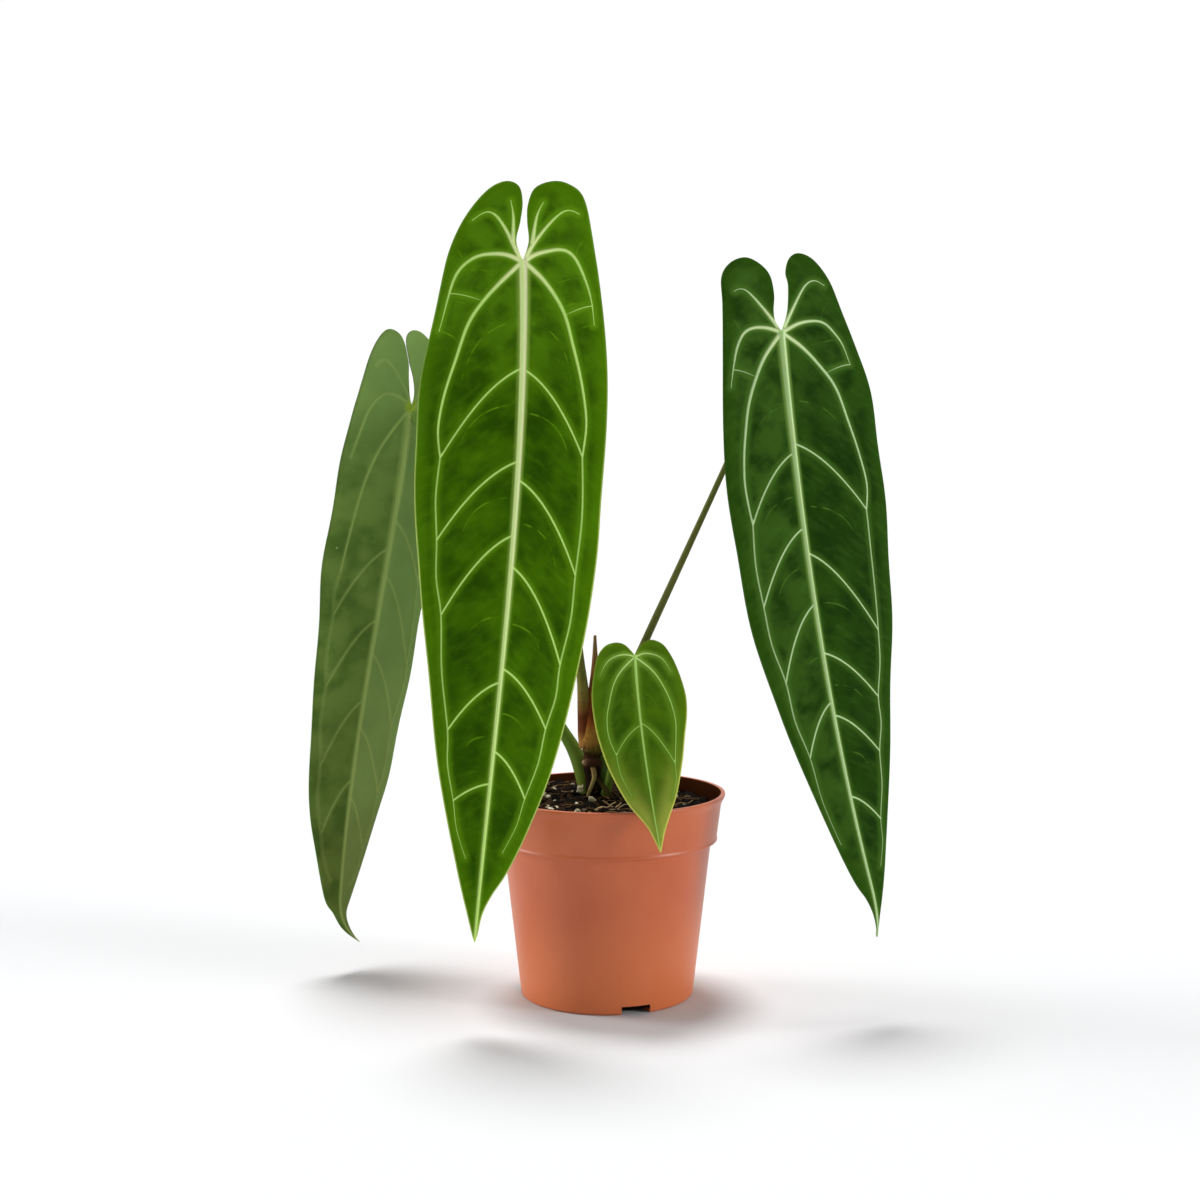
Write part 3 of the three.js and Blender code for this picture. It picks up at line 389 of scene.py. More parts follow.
BLADES: dict[str, LeafForm] = {
    "blade_front": LeafForm(
        length=325.3, facing=(-2, 4), fold=(0.06, 0.1), curl=0.0016, ripple=0.7,
        lobe_lean=0.1, hook=0,
        midrib=((-39.6, -60, 366), (-37, -74, 262), (-53, -84, 150), (-63.5, -68, 43)),
        left=HalfForm(
            margin=(
                (0, 0), (3.2, -9.5), (1.6, -19.5), (0.9, -29), (3, -37), (9.5, -40), (18, -36.5),
                (27, -25.5), (34, -10), (39.5, 10), (45, 40), (49, 65), (49, 90), (47, 125), (42, 157),
                (34, 199), (24.5, 245), (11.5, 290), (4.5, 312), (1.6, 321), (0, 325.3)),
            rays=(
                ((0.6, 1), (9, 8.5), (18.5, 18.5), (26, 30), (31.5, 47.5), (37, 66.5), (39, 82.5),
                 (37, 96)),
                ((1.2, 0.2), (7, -3), (14.5, -4), (22.5, -3), (30.5, 3), (35, 13), (40, 34)),
                ((1.4, -1.5), (3.9, -6.5), (8.5, -16), (14, -24), (18.5, -25.5), (24.5, -21.5)),
                ((4.8, -9), (5, -22), (6.5, -30))),
            laterals=(
                (52, 37, 96), (96, 36, 135.5), (130.5, 30.8, 170.5), (199, 22.5, 224), (247, 16.5, 257)),
            fade=(8, 284), bridge=0.7),
        right=HalfForm(
            margin=(
                (0, 0), (2.6, -9), (1.6, -19), (1.6, -27), (4.5, -35), (12, -38), (20, -36.5),
                (27.5, -29.5), (32, -12), (35.5, 12), (39, 46), (40, 75), (39.5, 110), (39.5, 140),
                (36.5, 182), (29, 235), (20.5, 267), (12.5, 289), (6, 301.5), (2.4, 311), (1, 321),
                (0, 325.3)),
            rays=(
                ((0.6, 1), (10, 10.5), (18.5, 24.5), (23, 40), (27.5, 57.5), (30.5, 76), (29.5, 92)),
                ((1.2, 0.2), (5, -2.5), (10.5, -4), (18.5, -5), (24.5, -0.5), (31, 16.5), (33, 31)),
                ((1.4, -1.5), (4, -6.5), (10, -15), (16, -21.5), (21, -24), (26, -21.5)),
                ((4.4, -8.5), (6, -21.5), (9, -28))),
            laterals=(
                (52.5, 29.5, 92), (104.5, 30.2, 146.5), (145, 27, 188.5), (192.5, 23.3, 219),
                (231.5, 17, 253)),
            fade=(9, 280), bridge=0.85)),
    "blade_right": LeafForm(
        length=299.7, facing=(16, 24), fold=(0.05, 0.12), curl=0.0015, ripple=0.3,
        lobe_lean=0, hook=-4,
        midrib=((85.2, -20, 335), (93.6, -36, 240), (107, -50, 140), (135.2, -46, 41.7)),
        left=HalfForm(
            margin=(
                (0, 0), (2.6, -5), (3, -11), (2, -19), (3.2, -29), (8, -35.5), (15, -39), (22.5, -36.5),
                (27.5, -29), (28.3, -14), (30.5, 15), (34, 48), (35.2, 75), (34.8, 105), (32.5, 149),
                (26, 187), (17.5, 228), (8.5, 268), (3.8, 281), (1.4, 290), (0, 299.7)),
            rays=(
                ((0.6, 1), (9.5, 12), (15, 22.5), (20, 35), (23, 47.5), (25.5, 62), (26.5, 77),
                 (25.3, 95)),
                ((1.2, 0), (9, -2.5), (17.5, -1.5), (22.5, 5.5), (25.5, 16), (28, 27)),
                ((1.8, -2.5), (8.5, -12.5), (16, -22), (20, -23), (22, -21.5))),
            laterals=((61.5, 25.3, 95), (99, 25.5, 134.5), (136.5, 21, 171.5), (184.5, 16, 208.5)),
            fade=(10, 252), bridge=0.82),
        right=HalfForm(
            margin=(
                (0, 0), (2, -4), (4.6, -12), (6, -24), (5.2, -31), (8, -38.5), (13.5, -41), (21, -37.5),
                (28.5, -27), (34, -12), (40.5, 8), (46.5, 33), (48.5, 60), (48.3, 90), (46.5, 124),
                (41.5, 158), (33, 196), (23.5, 232), (12, 265), (4.2, 284), (1.4, 292), (0, 299.7)),
            rays=(
                ((0.6, 1), (10.5, 8.5), (20, 19.5), (26.5, 29.5), (31.5, 45.5), (36, 61.5), (38.5, 79),
                 (36.3, 92.5)),
                ((1.2, 0), (11, -4.5), (22.5, -5), (29, 1), (33, 7), (36, 17.5)),
                ((1.8, -2.5), (8.5, -14), (15, -24), (20.5, -27), (25.5, -24))),
            laterals=(
                (57, 36.3, 92.5), (111.5, 33.5, 154), (160.5, 27.5, 187), (191, 22, 213.5),
                (231, 14.5, 246)),
            fade=(8, 268), bridge=1.0)),
    "blade_left": LeafForm(
        length=287.3, facing=(-146, -140), fold=(-0.2, -0.22), curl=-0.0004, ripple=0.6,
        lobe_lean=0.4, hook=-13.5,
        midrib=((-102.5, 45, 299.6), (-117.7, 56, 203), (-141.5, 54, 105), (-142.6, 34, 17)),
        left=HalfForm(
            margin=(
                (0, 0), (1.5, -6), (1.4, -14), (0.3, -22), (0.3, -30), (2.4, -36), (8, -38.5), (14, -36),
                (21, -27), (26, -14), (29, 2), (31, 22), (32, 48), (32, 78), (30.5, 103), (29.5, 148),
                (27, 188), (22, 214), (16.5, 236), (8.2, 261), (4, 271), (2.5, 279), (1.2, 284),
                (0, 287.3)),
            rays=(
                ((0.6, 1), (8, 12), (14.5, 25), (19, 41), (22, 58), (23.5, 76), (23, 90)),
                ((1.2, -0.5), (8.5, -5), (16, -4.5), (22, 3), (25, 16), (27.5, 30)),
                ((1.8, -3), (6, -12), (11, -21), (16, -24), (20, -20))),
            laterals=(
                (59.5, 23, 90), (88.5, 25.5, 134), (130, 22.5, 168), (170, 19, 204), (208, 13, 236)),
            fade=(6, 256)),
        right=HalfForm(
            margin=(
                (0, 0), (1.5, -6), (1.4, -14), (0.3, -22), (0.3, -30), (1.8, -36), (6, -38.5), (11, -36),
                (17.5, -28), (24, -16), (29, -2), (31.2, 18), (33, 44), (33.3, 84), (30.7, 116),
                (27, 154), (24, 192), (20, 219), (14.8, 240), (8.2, 264), (4, 272), (2.5, 280),
                (1.2, 284), (0, 287.3)),
            rays=(
                ((0.6, 1), (7.5, 11.5), (14, 24.5), (18.5, 40), (21, 54.5), (22.5, 70.5), (23.5, 89.5)),
                ((1.2, -0.5), (8.5, -5), (16, -4.5), (22, 3), (25, 16), (27.5, 30)),
                ((1.8, -3), (6, -12), (10, -20), (14, -23), (18, -19))),
            laterals=((74, 24, 112), (112, 21.5, 150), (155, 18.5, 192), (198, 13.5, 228)),
            fade=(6, 254))),
    "blade_small": LeafForm(
        length=99.3, facing=(4, 6), fold=(0.06, 0.06), curl=0.002, ripple=0.5,
        lobe_lean=0, hook=0,
        midrib=((13.5, -32, 177), (14.7, -50, 150), (19.5, -66, 118), (25.3, -70, 87)),
        left=HalfForm(
            margin=(
                (0, 0), (2.4, -3.5), (5, -6.3), (9, -7.5), (14, -6), (17.8, -1), (20, 7), (22, 19),
                (22, 31), (20.7, 43), (17.5, 57), (11.5, 73), (4.8, 84.5), (2.6, 90), (0, 99.3)),
            rays=(
                ((0.6, 1.5), (7.5, 8.5), (11.5, 15.5), (14, 24), (16, 32), (16, 41.5), (13.5, 50)),
                ((1, 0.5), (5, -0.8), (9.5, 0.2), (14, 3), (17.5, 10))),
            laterals=((37, 13.5, 50),),
            fade=(9, 70)),
        right=HalfForm(
            margin=(
                (0, 0), (2.3, -4.5), (5, -8), (9, -9.6), (14, -7.6), (17.8, -1.5), (21, 8), (23.4, 21),
                (23, 32), (20.5, 44), (17.5, 57), (12.5, 72), (7.5, 82), (3.5, 90), (0, 99.3)),
            rays=(
                ((0.6, 1.5), (8, 8), (12.5, 16), (15.5, 24.5), (17, 34), (16.5, 42), (14, 57)),
                ((1, 0.5), (4.5, -1.5), (8.5, -1), (13.5, 1), (17.5, 9))),
            laterals=((36, 14, 57),),
            fade=(10, 74))),
}


class VeinKind(Enum):
    """Orders of vein, each with (half width, height) at its root and at its end."""

    MIDRIB = ((2.3, 1.0), (0.7, 0.4))
    RAY = ((1.5, 0.65), (0.6, 0.38))
    LATERAL = ((0.72, 0.42), (0.55, 0.34))
    COLLECTIVE = ((0.6, 0.34), (0.5, 0.3))
    CROSS = ((0.5, 0.1), (0.4, 0.05))


@dataclass
class Vein:
    """One vein as a line in the leaf plane; a loose one thins out to nothing at its end."""

    kind: VeinKind
    line: Array
    scale: float
    loose: bool = False

    def half_width(self, place: Array) -> Array:
        """Half width in millimetres at a place from 0 to 1 along the vein."""
        return self.measure(0, place, place ** 0.6, 0.65)

    def height(self, place: Array) -> Array:
        """Height in millimetres at a place from 0 to 1 along the vein."""
        return self.measure(1, place, place, 0.8)

    def measure(self, which: int, place: Array, share: Array, thinning: float) -> Array:
        """Blend the root's and the end's measure by a share, thinned at a loose vein's end."""
        root, end = (ends[which] for ends in self.kind.value)
        taper = 1 - thinning * ease((place - 0.55) / 0.45) if self.loose else 1.0
        return (root + (end - root) * share) * self.scale * taper


@dataclass(frozen=True)
class LeafSkin:
    """Colours of a velvety aroid leaf with a glossless waxy cuticle, and its veins' weight."""

    deep: str
    fresh: str
    blotch: str
    halo: str
    glow: str
    vein: str
    vein_root: str
    # The midrib's core colour, then the tone painted as light and shade on its right flank
    rib: tuple[str, str]
    net: str
    edge: str
    under: str
    under_shade: str
    under_pale_and_lit: str
    under_vein: str
    blotch_share: float = 0.5
    net_strength: float = 0.2
    cross_strength: float = 0.8
    edge_strength: float = 0.6
    joint_glow: float = 0.5
    # Painted light on the left and on the right half of the upper face
    painted_light_half: Point2 = (0.0, 0.0)
    joint_light: float = 0.0
    tip_shade: float = 0.0
    vein_width: float = 1.0
    yellowing: float = 0.0
    roughness: float = 0.5
    gloss: float = 0.06


@dataclass
class Blade:
    """A hanging heart-based blade with raised veins on both faces."""

    node: str
    form: LeafForm
    skin: LeafSkin
    seed: int
    thickness: float = 0.8
    underside_relief: float = 1.5
    quilting: float = 0.35
    fill_spacing: float = 1.9
    vein_spacing: float = 1.1
    least_gap: float = 0.33
    margin_gap: float = 0.45
    crest_gap: float = 0.3
    vein_reach: float = 16
    no_vein_ratio: float = 9.0
    no_vein_distance: float = 30.0
    quilt_rise: float = 5
    quilt_fall: float = 7
    tip_fade: float = 12
    edge_roll: float = 0.18
    wave_length: float = 62
    wave_phase: float = 1.9
    wave_reach: float = 25
    lobe_turn: float = 15
    hook_length: float = 28
    lateral_bend: float = 0.18
    collective_bulge: float = 1.3

    def veins(self) -> list[Vein]:
        """Lay out every vein of both halves.

        Returns:
            The midrib first, then each half's rays, laterals and collective vein.
        """
        form = self.form
        # Veins of a blade 99 mm long are 0.55 times as wide as those of one of 289 mm or more
        size = min(max((form.length - 99) / 190, 0), 1)
        scale = (0.55 + 0.45 * size) * self.skin.vein_width
        spine = np.stack([np.zeros(60), np.linspace(0, form.length, 60)], axis=1)
        veins = [Vein(VeinKind.MIDRIB, spine, scale)]
        for half, sign in ((form.left, -1), (form.right, 1)):
            flip = np.array([sign, 1.0])
            for number, ray in enumerate(half.rays):
                line = self.softened(evenly(smooth_line(ray, 10), 1.0))
                veins.append(Vein(VeinKind.RAY, line * flip, scale, number > 0))
            for start, across, along in half.laterals:
                bend = (across / 2, start + (along - start) * self.lateral_bend)
                line = self.bowed((0.3, start), bend, (across, along))
                veins.append(Vein(VeinKind.LATERAL, line * flip, scale))
            veins.append(Vein(VeinKind.COLLECTIVE, self.collective(half) * flip, scale, True))
            if half.bridge:
                veins += [Vein(kind, line * flip, scale * 0.7, True) for kind, line in zip(
                    (VeinKind.COLLECTIVE, *[VeinKind.CROSS] * 3), self.ties(half))]
            veins += [Vein(VeinKind.CROSS, line * flip, scale, True)
                      for line in self.cross_lines(half)]
        return veins

    def cross_lines(self, half: HalfForm) -> list[Array]:
        """Lay out the thin cross veins of one half.

        Args:
            half: The half blade.

        Returns:
            A bent line between each two laterals, and rungs from the inner to the outer ray.
        """
        rng = np.random.default_rng(40 + self.seed)
        lines = []
        starts = list(half.laterals)
        first = (2.0, half.rays[0][-1][0], half.rays[0][-1][1] * 0.8)
        for (s0, x0, y0), (s1, x1, y1) in zip([first, *starts], starts):
            share = 0.5 + rng.uniform(-0.12, 0.12)
            start = s0 + (s1 - s0) * share
            x, y = x0 + (x1 - x0) * share, y0 + (y1 - y0) * share
            reach, drop = x * rng.uniform(0.66, 0.82), (y - start) * rng.uniform(0.34, 0.5)
            lines.append(self.bowed((0, start), (reach * 0.8, start), (reach, start + drop))[3:])
        inner, outer = (evenly(smooth_line(ray, 8), 1.0) for ray in half.rays[:2])
        for share in (0.3, 0.44, 0.58):
            root = inner[int(len(inner) * (share + rng.uniform(-0.04, 0.04)))]
            target = outer[np.argmin(np.linalg.norm(outer - root, axis=1))]
            if np.linalg.norm(target - root) < 3 or target[1] < root[1] - 8:
                continue
            middle = (root + target) / 2 + (1.0, -2.2) + rng.uniform(-1, 1, 2)
            lines.append(self.bowed(root, middle, target)[::2])
        return lines

    def ties(self, half: HalfForm) -> list[Array]:
        """Return the veins from one half's outer ray to its inner ray, and a twig into the lobe."""
        inner, outer = (evenly(smooth_line(ray, 8), 1.0) for ray in half.rays[:2])
        rungs = []
        for share in (half.bridge, 0.72 * half.bridge, 1.0):
            end = outer[int(share * (len(outer) - 1))]
            root = inner[np.argmin(np.abs(inner[:, 1] - end[1] - 4.5))]
            rungs.append(self.bowed(end, (end * 0.65 + root * 0.35) + (0.2, -1.6), root))
        fork = outer[int(0.44 * len(outer))]
        return [*rungs, self.bowed(fork, fork + (0.8, -7), fork + (6.5, -11))]

    @staticmethod
    def softened(line: Array) -> Array:
        """Return a line of even steps with its small kinks rubbed out and its ends held."""
        bell = np.exp(-np.linspace(-2, 2, 13) ** 2)
        bell /= bell.sum()
        ends = np.pad(line, ((6, 6), (0, 0)), mode="reflect", reflect_type="odd")
        return np.stack([np.convolve(ends[:, k], bell, "valid") for k in (0, 1)], axis=1)

    @staticmethod
    def bowed(start: Sequence[float], bend: Sequence[float], end: Sequence[float]) -> Array:
        """Return a quadratic curve of 24 places from start to end past a bend."""
        t = np.linspace(0, 1, 24)[:, None]
        return ((1 - t) ** 2 * np.asarray(start, float) + 2 * t * (1 - t) * np.asarray(bend, float)
                + t ** 2 * np.asarray(end, float))

    def collective(self, half: HalfForm) -> Array:
        """Return the line that joins one half's vein ends near the margin."""
        first = half.rays[0][-1]
        tips = [(x, y) for _, x, y in half.laterals if y > first[1] + 1]
        ends = [first, *tips, half.fade]
        points: list[Point2] = [first]
        for before, end in zip(ends, ends[1:]):
            points.append(((before[0] + end[0]) / 2 + self.collective_bulge,
                           (before[1] + end[1]) / 2))
            points.append(end)
        return smooth_line(points, 8)

    def outline(self) -> Array:
        """Return the margin as one closed ring, from the joint down the right and back."""
        right = evenly(smooth_line(self.form.right.margin, 30), 0.9)
        left = evenly(smooth_line(self.form.left.margin, 30), 0.9) * (-1, 1)
        for side, sign in ((right, 1), (left, -1)):
            side[1:-1, 0] = sign * np.maximum(np.abs(side[1:-1, 0]), 0.3)
        return np.vstack([right, left[-2:0:-1]])

    def net(self, veins: list[Vein], ring: Array) -> tuple[Array, list[Triangle]]:
        """Triangulate the leaf plane with rows of points along every vein.

        Args:
            veins: The leaf's veins.
            ring: Its closed margin.

        Returns:
            Points in the leaf plane and the triangles between them.
        """
        lines = [evenly(vein.line, self.vein_spacing) for vein in veins]
        rows: list[Array] = []
        for vein, line in zip(veins, lines):
            course = np.gradient(line, axis=0)
            course /= np.linalg.norm(course, axis=1)[:, None]
            flank = np.stack([-course[:, 1], course[:, 0]], axis=1)
            wide = vein.half_width(np.linspace(0, 1, len(line)))[:, None]
            thick = vein.kind in (VeinKind.MIDRIB, VeinKind.RAY)
            shares = (-1.6, -1.0, -0.5, 0.5, 1.0, 1.6) if thick else (-1.05, 1.05)
            rows += [line + flank * np.maximum(wide, 0.37) * share for share in shares]
        step = self.fill_spacing
        across = np.arange(-60, 60, step)
        along = np.arange(-48, self.form.length, step * 0.87)
        fill = np.array([(x + (k % 2) * step / 2, y) for k, y in enumerate(along) for x in across])
        away = np.min([nearest_on(line, fill, 6)[0] - vein.half_width(np.zeros(1))
                       for vein, line in zip(veins, lines)], axis=0)
        fill = fill[away > step * 0.4]
        loose = np.vstack([*rows, fill])
        closed = np.vstack([ring, ring[:1]])
        loose = loose[inside_ring(loose, ring) & (nearest_on(closed, loose)[0] > self.margin_gap)]
        crest = np.vstack([line[inside_ring(line, ring)] for line in lines])
        loose = thin_out(loose, crest, self.least_gap)
        points = list(ring)
        edges = [(i, (i + 1) % len(ring)) for i in range(len(ring))]
        for line in lines:
            kept = line[inside_ring(line, ring) & (nearest_on(closed, line)[0] > self.crest_gap)]
            edges += [(len(points) + i, len(points) + i + 1) for i in range(len(kept) - 1)]
            points += list(kept)
        made = delaunay_2d_cdt([Vector(p) for p in (*points, *loose)], edges, [], 1, 1e-4, False)
        plane = np.array([tuple(p) for p in made[0]])
        triangles = [tuple(face) for face in made[2] if len(face) == 3]
        middles = plane[np.array(triangles)].mean(axis=1)
        return plane, [t for t, inside in zip(triangles, inside_ring(middles, ring)) if inside]

    def place(self, plane: Array, lift: Array) -> Array:
        """Hang points of the leaf plane along the curved midrib.

        Args:
            plane: Points as (across, along).
            lift: Height of each above the leaf plane, towards the upper face.

        Returns:
            Places in space, in millimetres.
        """
        form = self.form
        across, along = plane[:, 0], plane[:, 1]
        t = (along / form.length)[:, None]
        held = np.clip(t[:, 0], 0, 1)
        c = np.array(form.midrib, float)
        centre = ((1 - t) ** 3 * c[0] + 3 * t * (1 - t) ** 2 * c[1]
                  + 3 * t ** 2 * (1 - t) * c[2] + t ** 3 * c[3])
        down = ((1 - t) ** 2 * (c[1] - c[0]) + 2 * t * (1 - t) * (c[2] - c[1])
                + t ** 2 * (c[3] - c[2]))
        down /= np.linalg.norm(down, axis=1)[:, None]
        yaw = np.radians(form.facing[0] + (form.facing[1] - form.facing[0]) * held)
        front = np.stack([np.sin(yaw), -np.cos(yaw), np.zeros(len(yaw))], axis=1)
        front -= down * np.sum(front * down, axis=1)[:, None]
        front /= np.linalg.norm(front, axis=1)[:, None]
        side = np.cross(front, down)
        reach = np.abs(across)
        wave = np.sin(along / self.wave_length * 2 * math.pi
                      + np.where(across > 0, self.wave_phase, 0))
        fold = form.fold[0] + (form.fold[1] - form.fold[0]) * held
        fall = (fold * reach + form.curl * reach ** 2
                + form.ripple * (reach / self.wave_reach) ** 2 * wave)
        lean = form.lobe_lean * (np.hypot(np.minimum(along, 0), self.lobe_turn) - self.lobe_turn)
        hooked = np.clip((along - form.length + self.hook_length) / self.hook_length, 0, 1)
        sway = lean + form.hook * hooked ** 3
        return centre + side * (across + sway)[:, None] + front * (lift - fall)[:, None]

    def build(self) -> Piece:
        """Make the blade as one closed mesh with its attributes, and dress it."""
        form = self.form
        veins = self.veins()
        ring = self.outline()
        plane, triangles = self.net(veins, ring)
        relief = np.zeros(len(plane))
        ratios = {kind: np.full(len(plane), self.no_vein_ratio) for kind in VeinKind}
        clear = np.full(len(plane), self.no_vein_distance)
        for vein in veins:
            away, at = nearest_on(vein.line, plane, self.vein_reach)
            ratio = away / vein.half_width(at)
            shape = np.where(ratio < 1, 0.5 + 0.5 * np.cos(math.pi * np.minimum(ratio, 1)), 0)
            relief = np.maximum(relief, vein.height(at) * shape)
            ratios[vein.kind] = np.minimum(ratios[vein.kind], ratio)
            if vein.kind is not VeinKind.CROSS:
                clear = np.minimum(clear, away)
        closed = np.vstack([ring, ring[:1]])
        margin = nearest_on(closed, plane)[0]
        fading = 1 - 0.5 * ease((plane[:, 1] - form.length + self.tip_fade) / self.tip_fade)
        swell = 1 - np.exp(-(clear / self.quilt_rise) ** 2)
        dome = self.quilting * swell * ease(margin / self.quilt_fall)
        upper = self.place(plane, relief * fading + dome)
        lower = self.place(plane, -self.thickness - self.underside_relief * relief + dome)
        count = len(plane)
        rim, rim_faces = self.rolled_edge(triangles, count)
        rolled = plane[rim, 0] + self.edge_roll * np.sign(plane[rim, 0])
        middle = np.stack([rolled, plane[rim, 1]], axis=1)
        edge = self.place(middle, np.full(len(rim), -self.thickness / 2) + dome[rim])
        points = np.vstack([upper, lower, edge])
        lower_faces = [(a + count, c + count, b + count) for a, b, c in triangles]
        faces = [*triangles, *lower_faces, *rim_faces]
        piece = mesh_piece(self.node + "_leaf", points, faces, self.dress(), 80)
        stack = np.concatenate([np.arange(count), np.arange(count), rim])
        fields = {
            "midrib": ratios[VeinKind.MIDRIB][stack],
            "ray": np.minimum(ratios[VeinKind.RAY], ratios[VeinKind.LATERAL])[stack],
            "collective": ratios[VeinKind.COLLECTIVE][stack], "cross": ratios[VeinKind.CROSS][stack],
            "clear": clear[stack], "along": (plane[:, 1] / form.length)[stack],
            "margin": np.concatenate([margin, margin, np.zeros(len(rim))]),
            "upper": np.repeat((1.0, 0.0, 1.0), (count, count, len(rim)))}
        for name, values in fields.items():
            store(piece, name, values)
        layer = piece.data.uv_layers.new(name="LeafPlane")
        corners = np.zeros(len(piece.data.loops), np.int32)
        piece.data.loops.foreach_get("vertex_index", corners)
        layer.data.foreach_set("uv", (plane[stack][corners] / 100).astype(np.float32).ravel())
        return finish_piece(piece, self.node, self.node)

    @staticmethod
    def rolled_edge(triangles: list[Triangle], count: int) -> tuple[Array, list[tuple[int, ...]]]:
        """Find the open edges of one face and the quads that close them to the other face.

        Args:
            triangles: The face's triangles.
            count: Number of points on each face.

        Returns:
            The numbers of the margin's points, and two rows of quads between the faces.
        """
        sides = {(t[i], t[(i + 1) % 3]) for t in triangles for i in range(3)}
        open_sides = [(a, b) for a, b in sides if (b, a) not in sides]
        rim = np.array(sorted({a for side in open_sides for a in side}))
        number = {int(a): 2 * count + i for i, a in enumerate(rim)}
        quads = []
        for a, b in sorted(open_sides):
            quads.append((b, a, number[a], number[b]))
            quads.append((number[b], number[a], a + count, b + count))
        return rim, quads

    def dress(self) -> Material:
        """Velvety waxed leaf cuticle: dark matt green cells over pale raised veins.

        Returns:
            The blade's material, which reads the attributes that build() stores.
        """
        skin = self.skin
        material, tree, shader = new_material(f"velvety_leaf_cuticle_{self.node}")
        plane = add_node(tree, "ShaderNodeUVMap", {"uv_map": "LeafPlane"})
        midrib, ray, collective, cross, clear, margin, along, upper = (
            add_node(tree, "ShaderNodeAttribute", {"attribute_name": name}).outputs["Fac"]
            for name in ("midrib", "ray", "collective", "cross", "clear", "margin", "along",
                         "upper"))
        from_joint = add_node(tree, "ShaderNodeVectorMath", {"operation": "LENGTH"}, {0: plane})

        # Noises over the leaf plane, whose unit is 100 mm: clouds 30 mm and patches 14 mm across,
        # streaks 4 mm wide that run out and down beside the side veins, a 1 mm velvet grain
        moved = add_node(tree, "ShaderNodeMapping", inputs={
            "Vector": plane, "Location": (0.7, 3.1 * self.seed, 0)})
        cloud, patch, spread, grain = (
            add_node(tree, "ShaderNodeTexNoise", inputs={
                "Vector": moved, "Scale": scale, "Detail": detail})
            for scale, detail in ((3.2, 3.0), (7.0, 4.0), (16.0, 1.0), (95.0, 2.0)))
        sides = add_node(tree, "ShaderNodeSeparateXYZ", inputs={0: plane})
        across = sides.outputs["X"]
        away = add_node(tree, "ShaderNodeMath", {"operation": "ABSOLUTE"}, {0: across})
        down = add_node(tree, "ShaderNodeMath", TIMES_PLUS, {
            0: away, 1: -0.7, 2: sides.outputs["Y"]})
        rows = add_node(tree, "ShaderNodeCombineXYZ", inputs={
            "X": across, "Y": down, "Z": 1.7 * self.seed})
        rows = add_node(tree, "ShaderNodeMapping", inputs={"Vector": rows, "Scale": (0.45, 1, 1)})
        streak = add_node(tree, "ShaderNodeTexNoise", inputs={
            "Vector": rows, "Scale": 24.0, "Detail": 2.0})

        # Fine net of the smallest veins: cells 8 mm wide that hold cells of 2 mm
        bend = add_node(tree, "ShaderNodeTexNoise", inputs={
            "Vector": plane, "Scale": 14.0, "Detail": 2.0})
        cells = add_node(tree, "ShaderNodeVectorMath", PLUS, {0: plane, 1: bend.outputs["Color"]})
        cells = add_node(tree, "ShaderNodeMapping", inputs={
            "Vector": cells, "Scale": (0.62, 1, 1)})
        net, fine_net = (
            add_node(tree, "ShaderNodeMapRange", SMOOTH, {
                0: add_node(tree, "ShaderNodeTexVoronoi", {"feature": "DISTANCE_TO_EDGE"}, {
                    "Vector": cells, "Scale": scale}), 2: width, 3: 1.0, 4: 0.0})
            for scale, width in ((13.0, 0.05), (52.0, 0.09)))

        # Vein lines: creamy at the joint and greener further out, with painted light and shade as a
        # second tone on the midrib's right flank
        branch, loop = (ray, 0.25, 1.1, 1.0, 0.0), (collective, 0.1, 1.15, 0.8, 0.0)
        rib = (midrib, 0.6, 1.05, 1.0, 0.0)
        vein = paint(tree, skin.vein_root, ((skin.vein, [(from_joint, 0.0, 0.3, 0.0, 1.0)]),))
        cord = paint(tree, skin.rib[0], (
            # painted light and shade on the midrib's right flank
            (skin.rib[1], [(across, -0.001, 0.014, 0.0, 1.0)]),
            (skin.vein, [(along, 0.3, 1.0, 0.0, 1.0)])))

        # Upper face: deep green cells with darker blotches, fresher towards the margin, then the
        # net, soft halos beside the veins, the veins themselves and the pale leaf edge
        face = paint(tree, skin.deep, (
            (skin.fresh, [(cloud, 0.35, 0.68, 0.0, 0.65)]),
            # painted light on the upper face near the joint
            (skin.halo, [(from_joint, 0.75, 0.2, 0.0, skin.joint_light)]),
            # painted shade towards the tip
            (skin.blotch, [(along, 0.45, 1.0, 0.0, skin.tip_shade)]),
            # painted light on the half of the upper face that is turned to the light
            (skin.halo, [(across, -0.03, 0.03, *skin.painted_light_half)]),
            (skin.blotch, [(patch, 0.4, 0.66, 0.0, 1.0), (clear, 0.8, 4.0, 0.0, skin.blotch_share)]),
            (skin.fresh, [(margin, 1.0, 9.0, 0.8, 0.0)]),
            (skin.halo, [(streak, 0.45, 0.75, 0.0, 0.5 * skin.net_strength)]),
            (skin.edge, [(along, 0.35, 1.0, 0.0, 1.0),
                         (margin, 2.0, 11.0, skin.yellowing, 0.15 * skin.yellowing)]),
            (skin.net, [net, (spread, 0.45, 0.65, 0.0, skin.net_strength)]),
            (skin.halo, [(from_joint, 0.05, 0.9, 0.8, 0.45), (clear, 0.2, 3.6, 1.0, 0.0)]),
            (skin.halo, [(cross, 0.0, 1.5, 1.0, 0.0),
                         (spread, 0.38, 0.62, 0.05, skin.cross_strength)]),
            (skin.glow, [(midrib, 0.8, 2.1, 0.9 * skin.joint_glow, 0.0)],
             [(from_joint, 0.0, 0.22, skin.joint_glow, 0.0), (clear, 0.3, 2.4, 1.0, 0.0)]),
            (vein, [branch], [loop]),
            (cord, [rib]),
            (skin.edge, [(along, 0.05, 0.5, 0.1, skin.edge_strength), (margin, 0.1, 0.8, 1.0, 0.0)])))
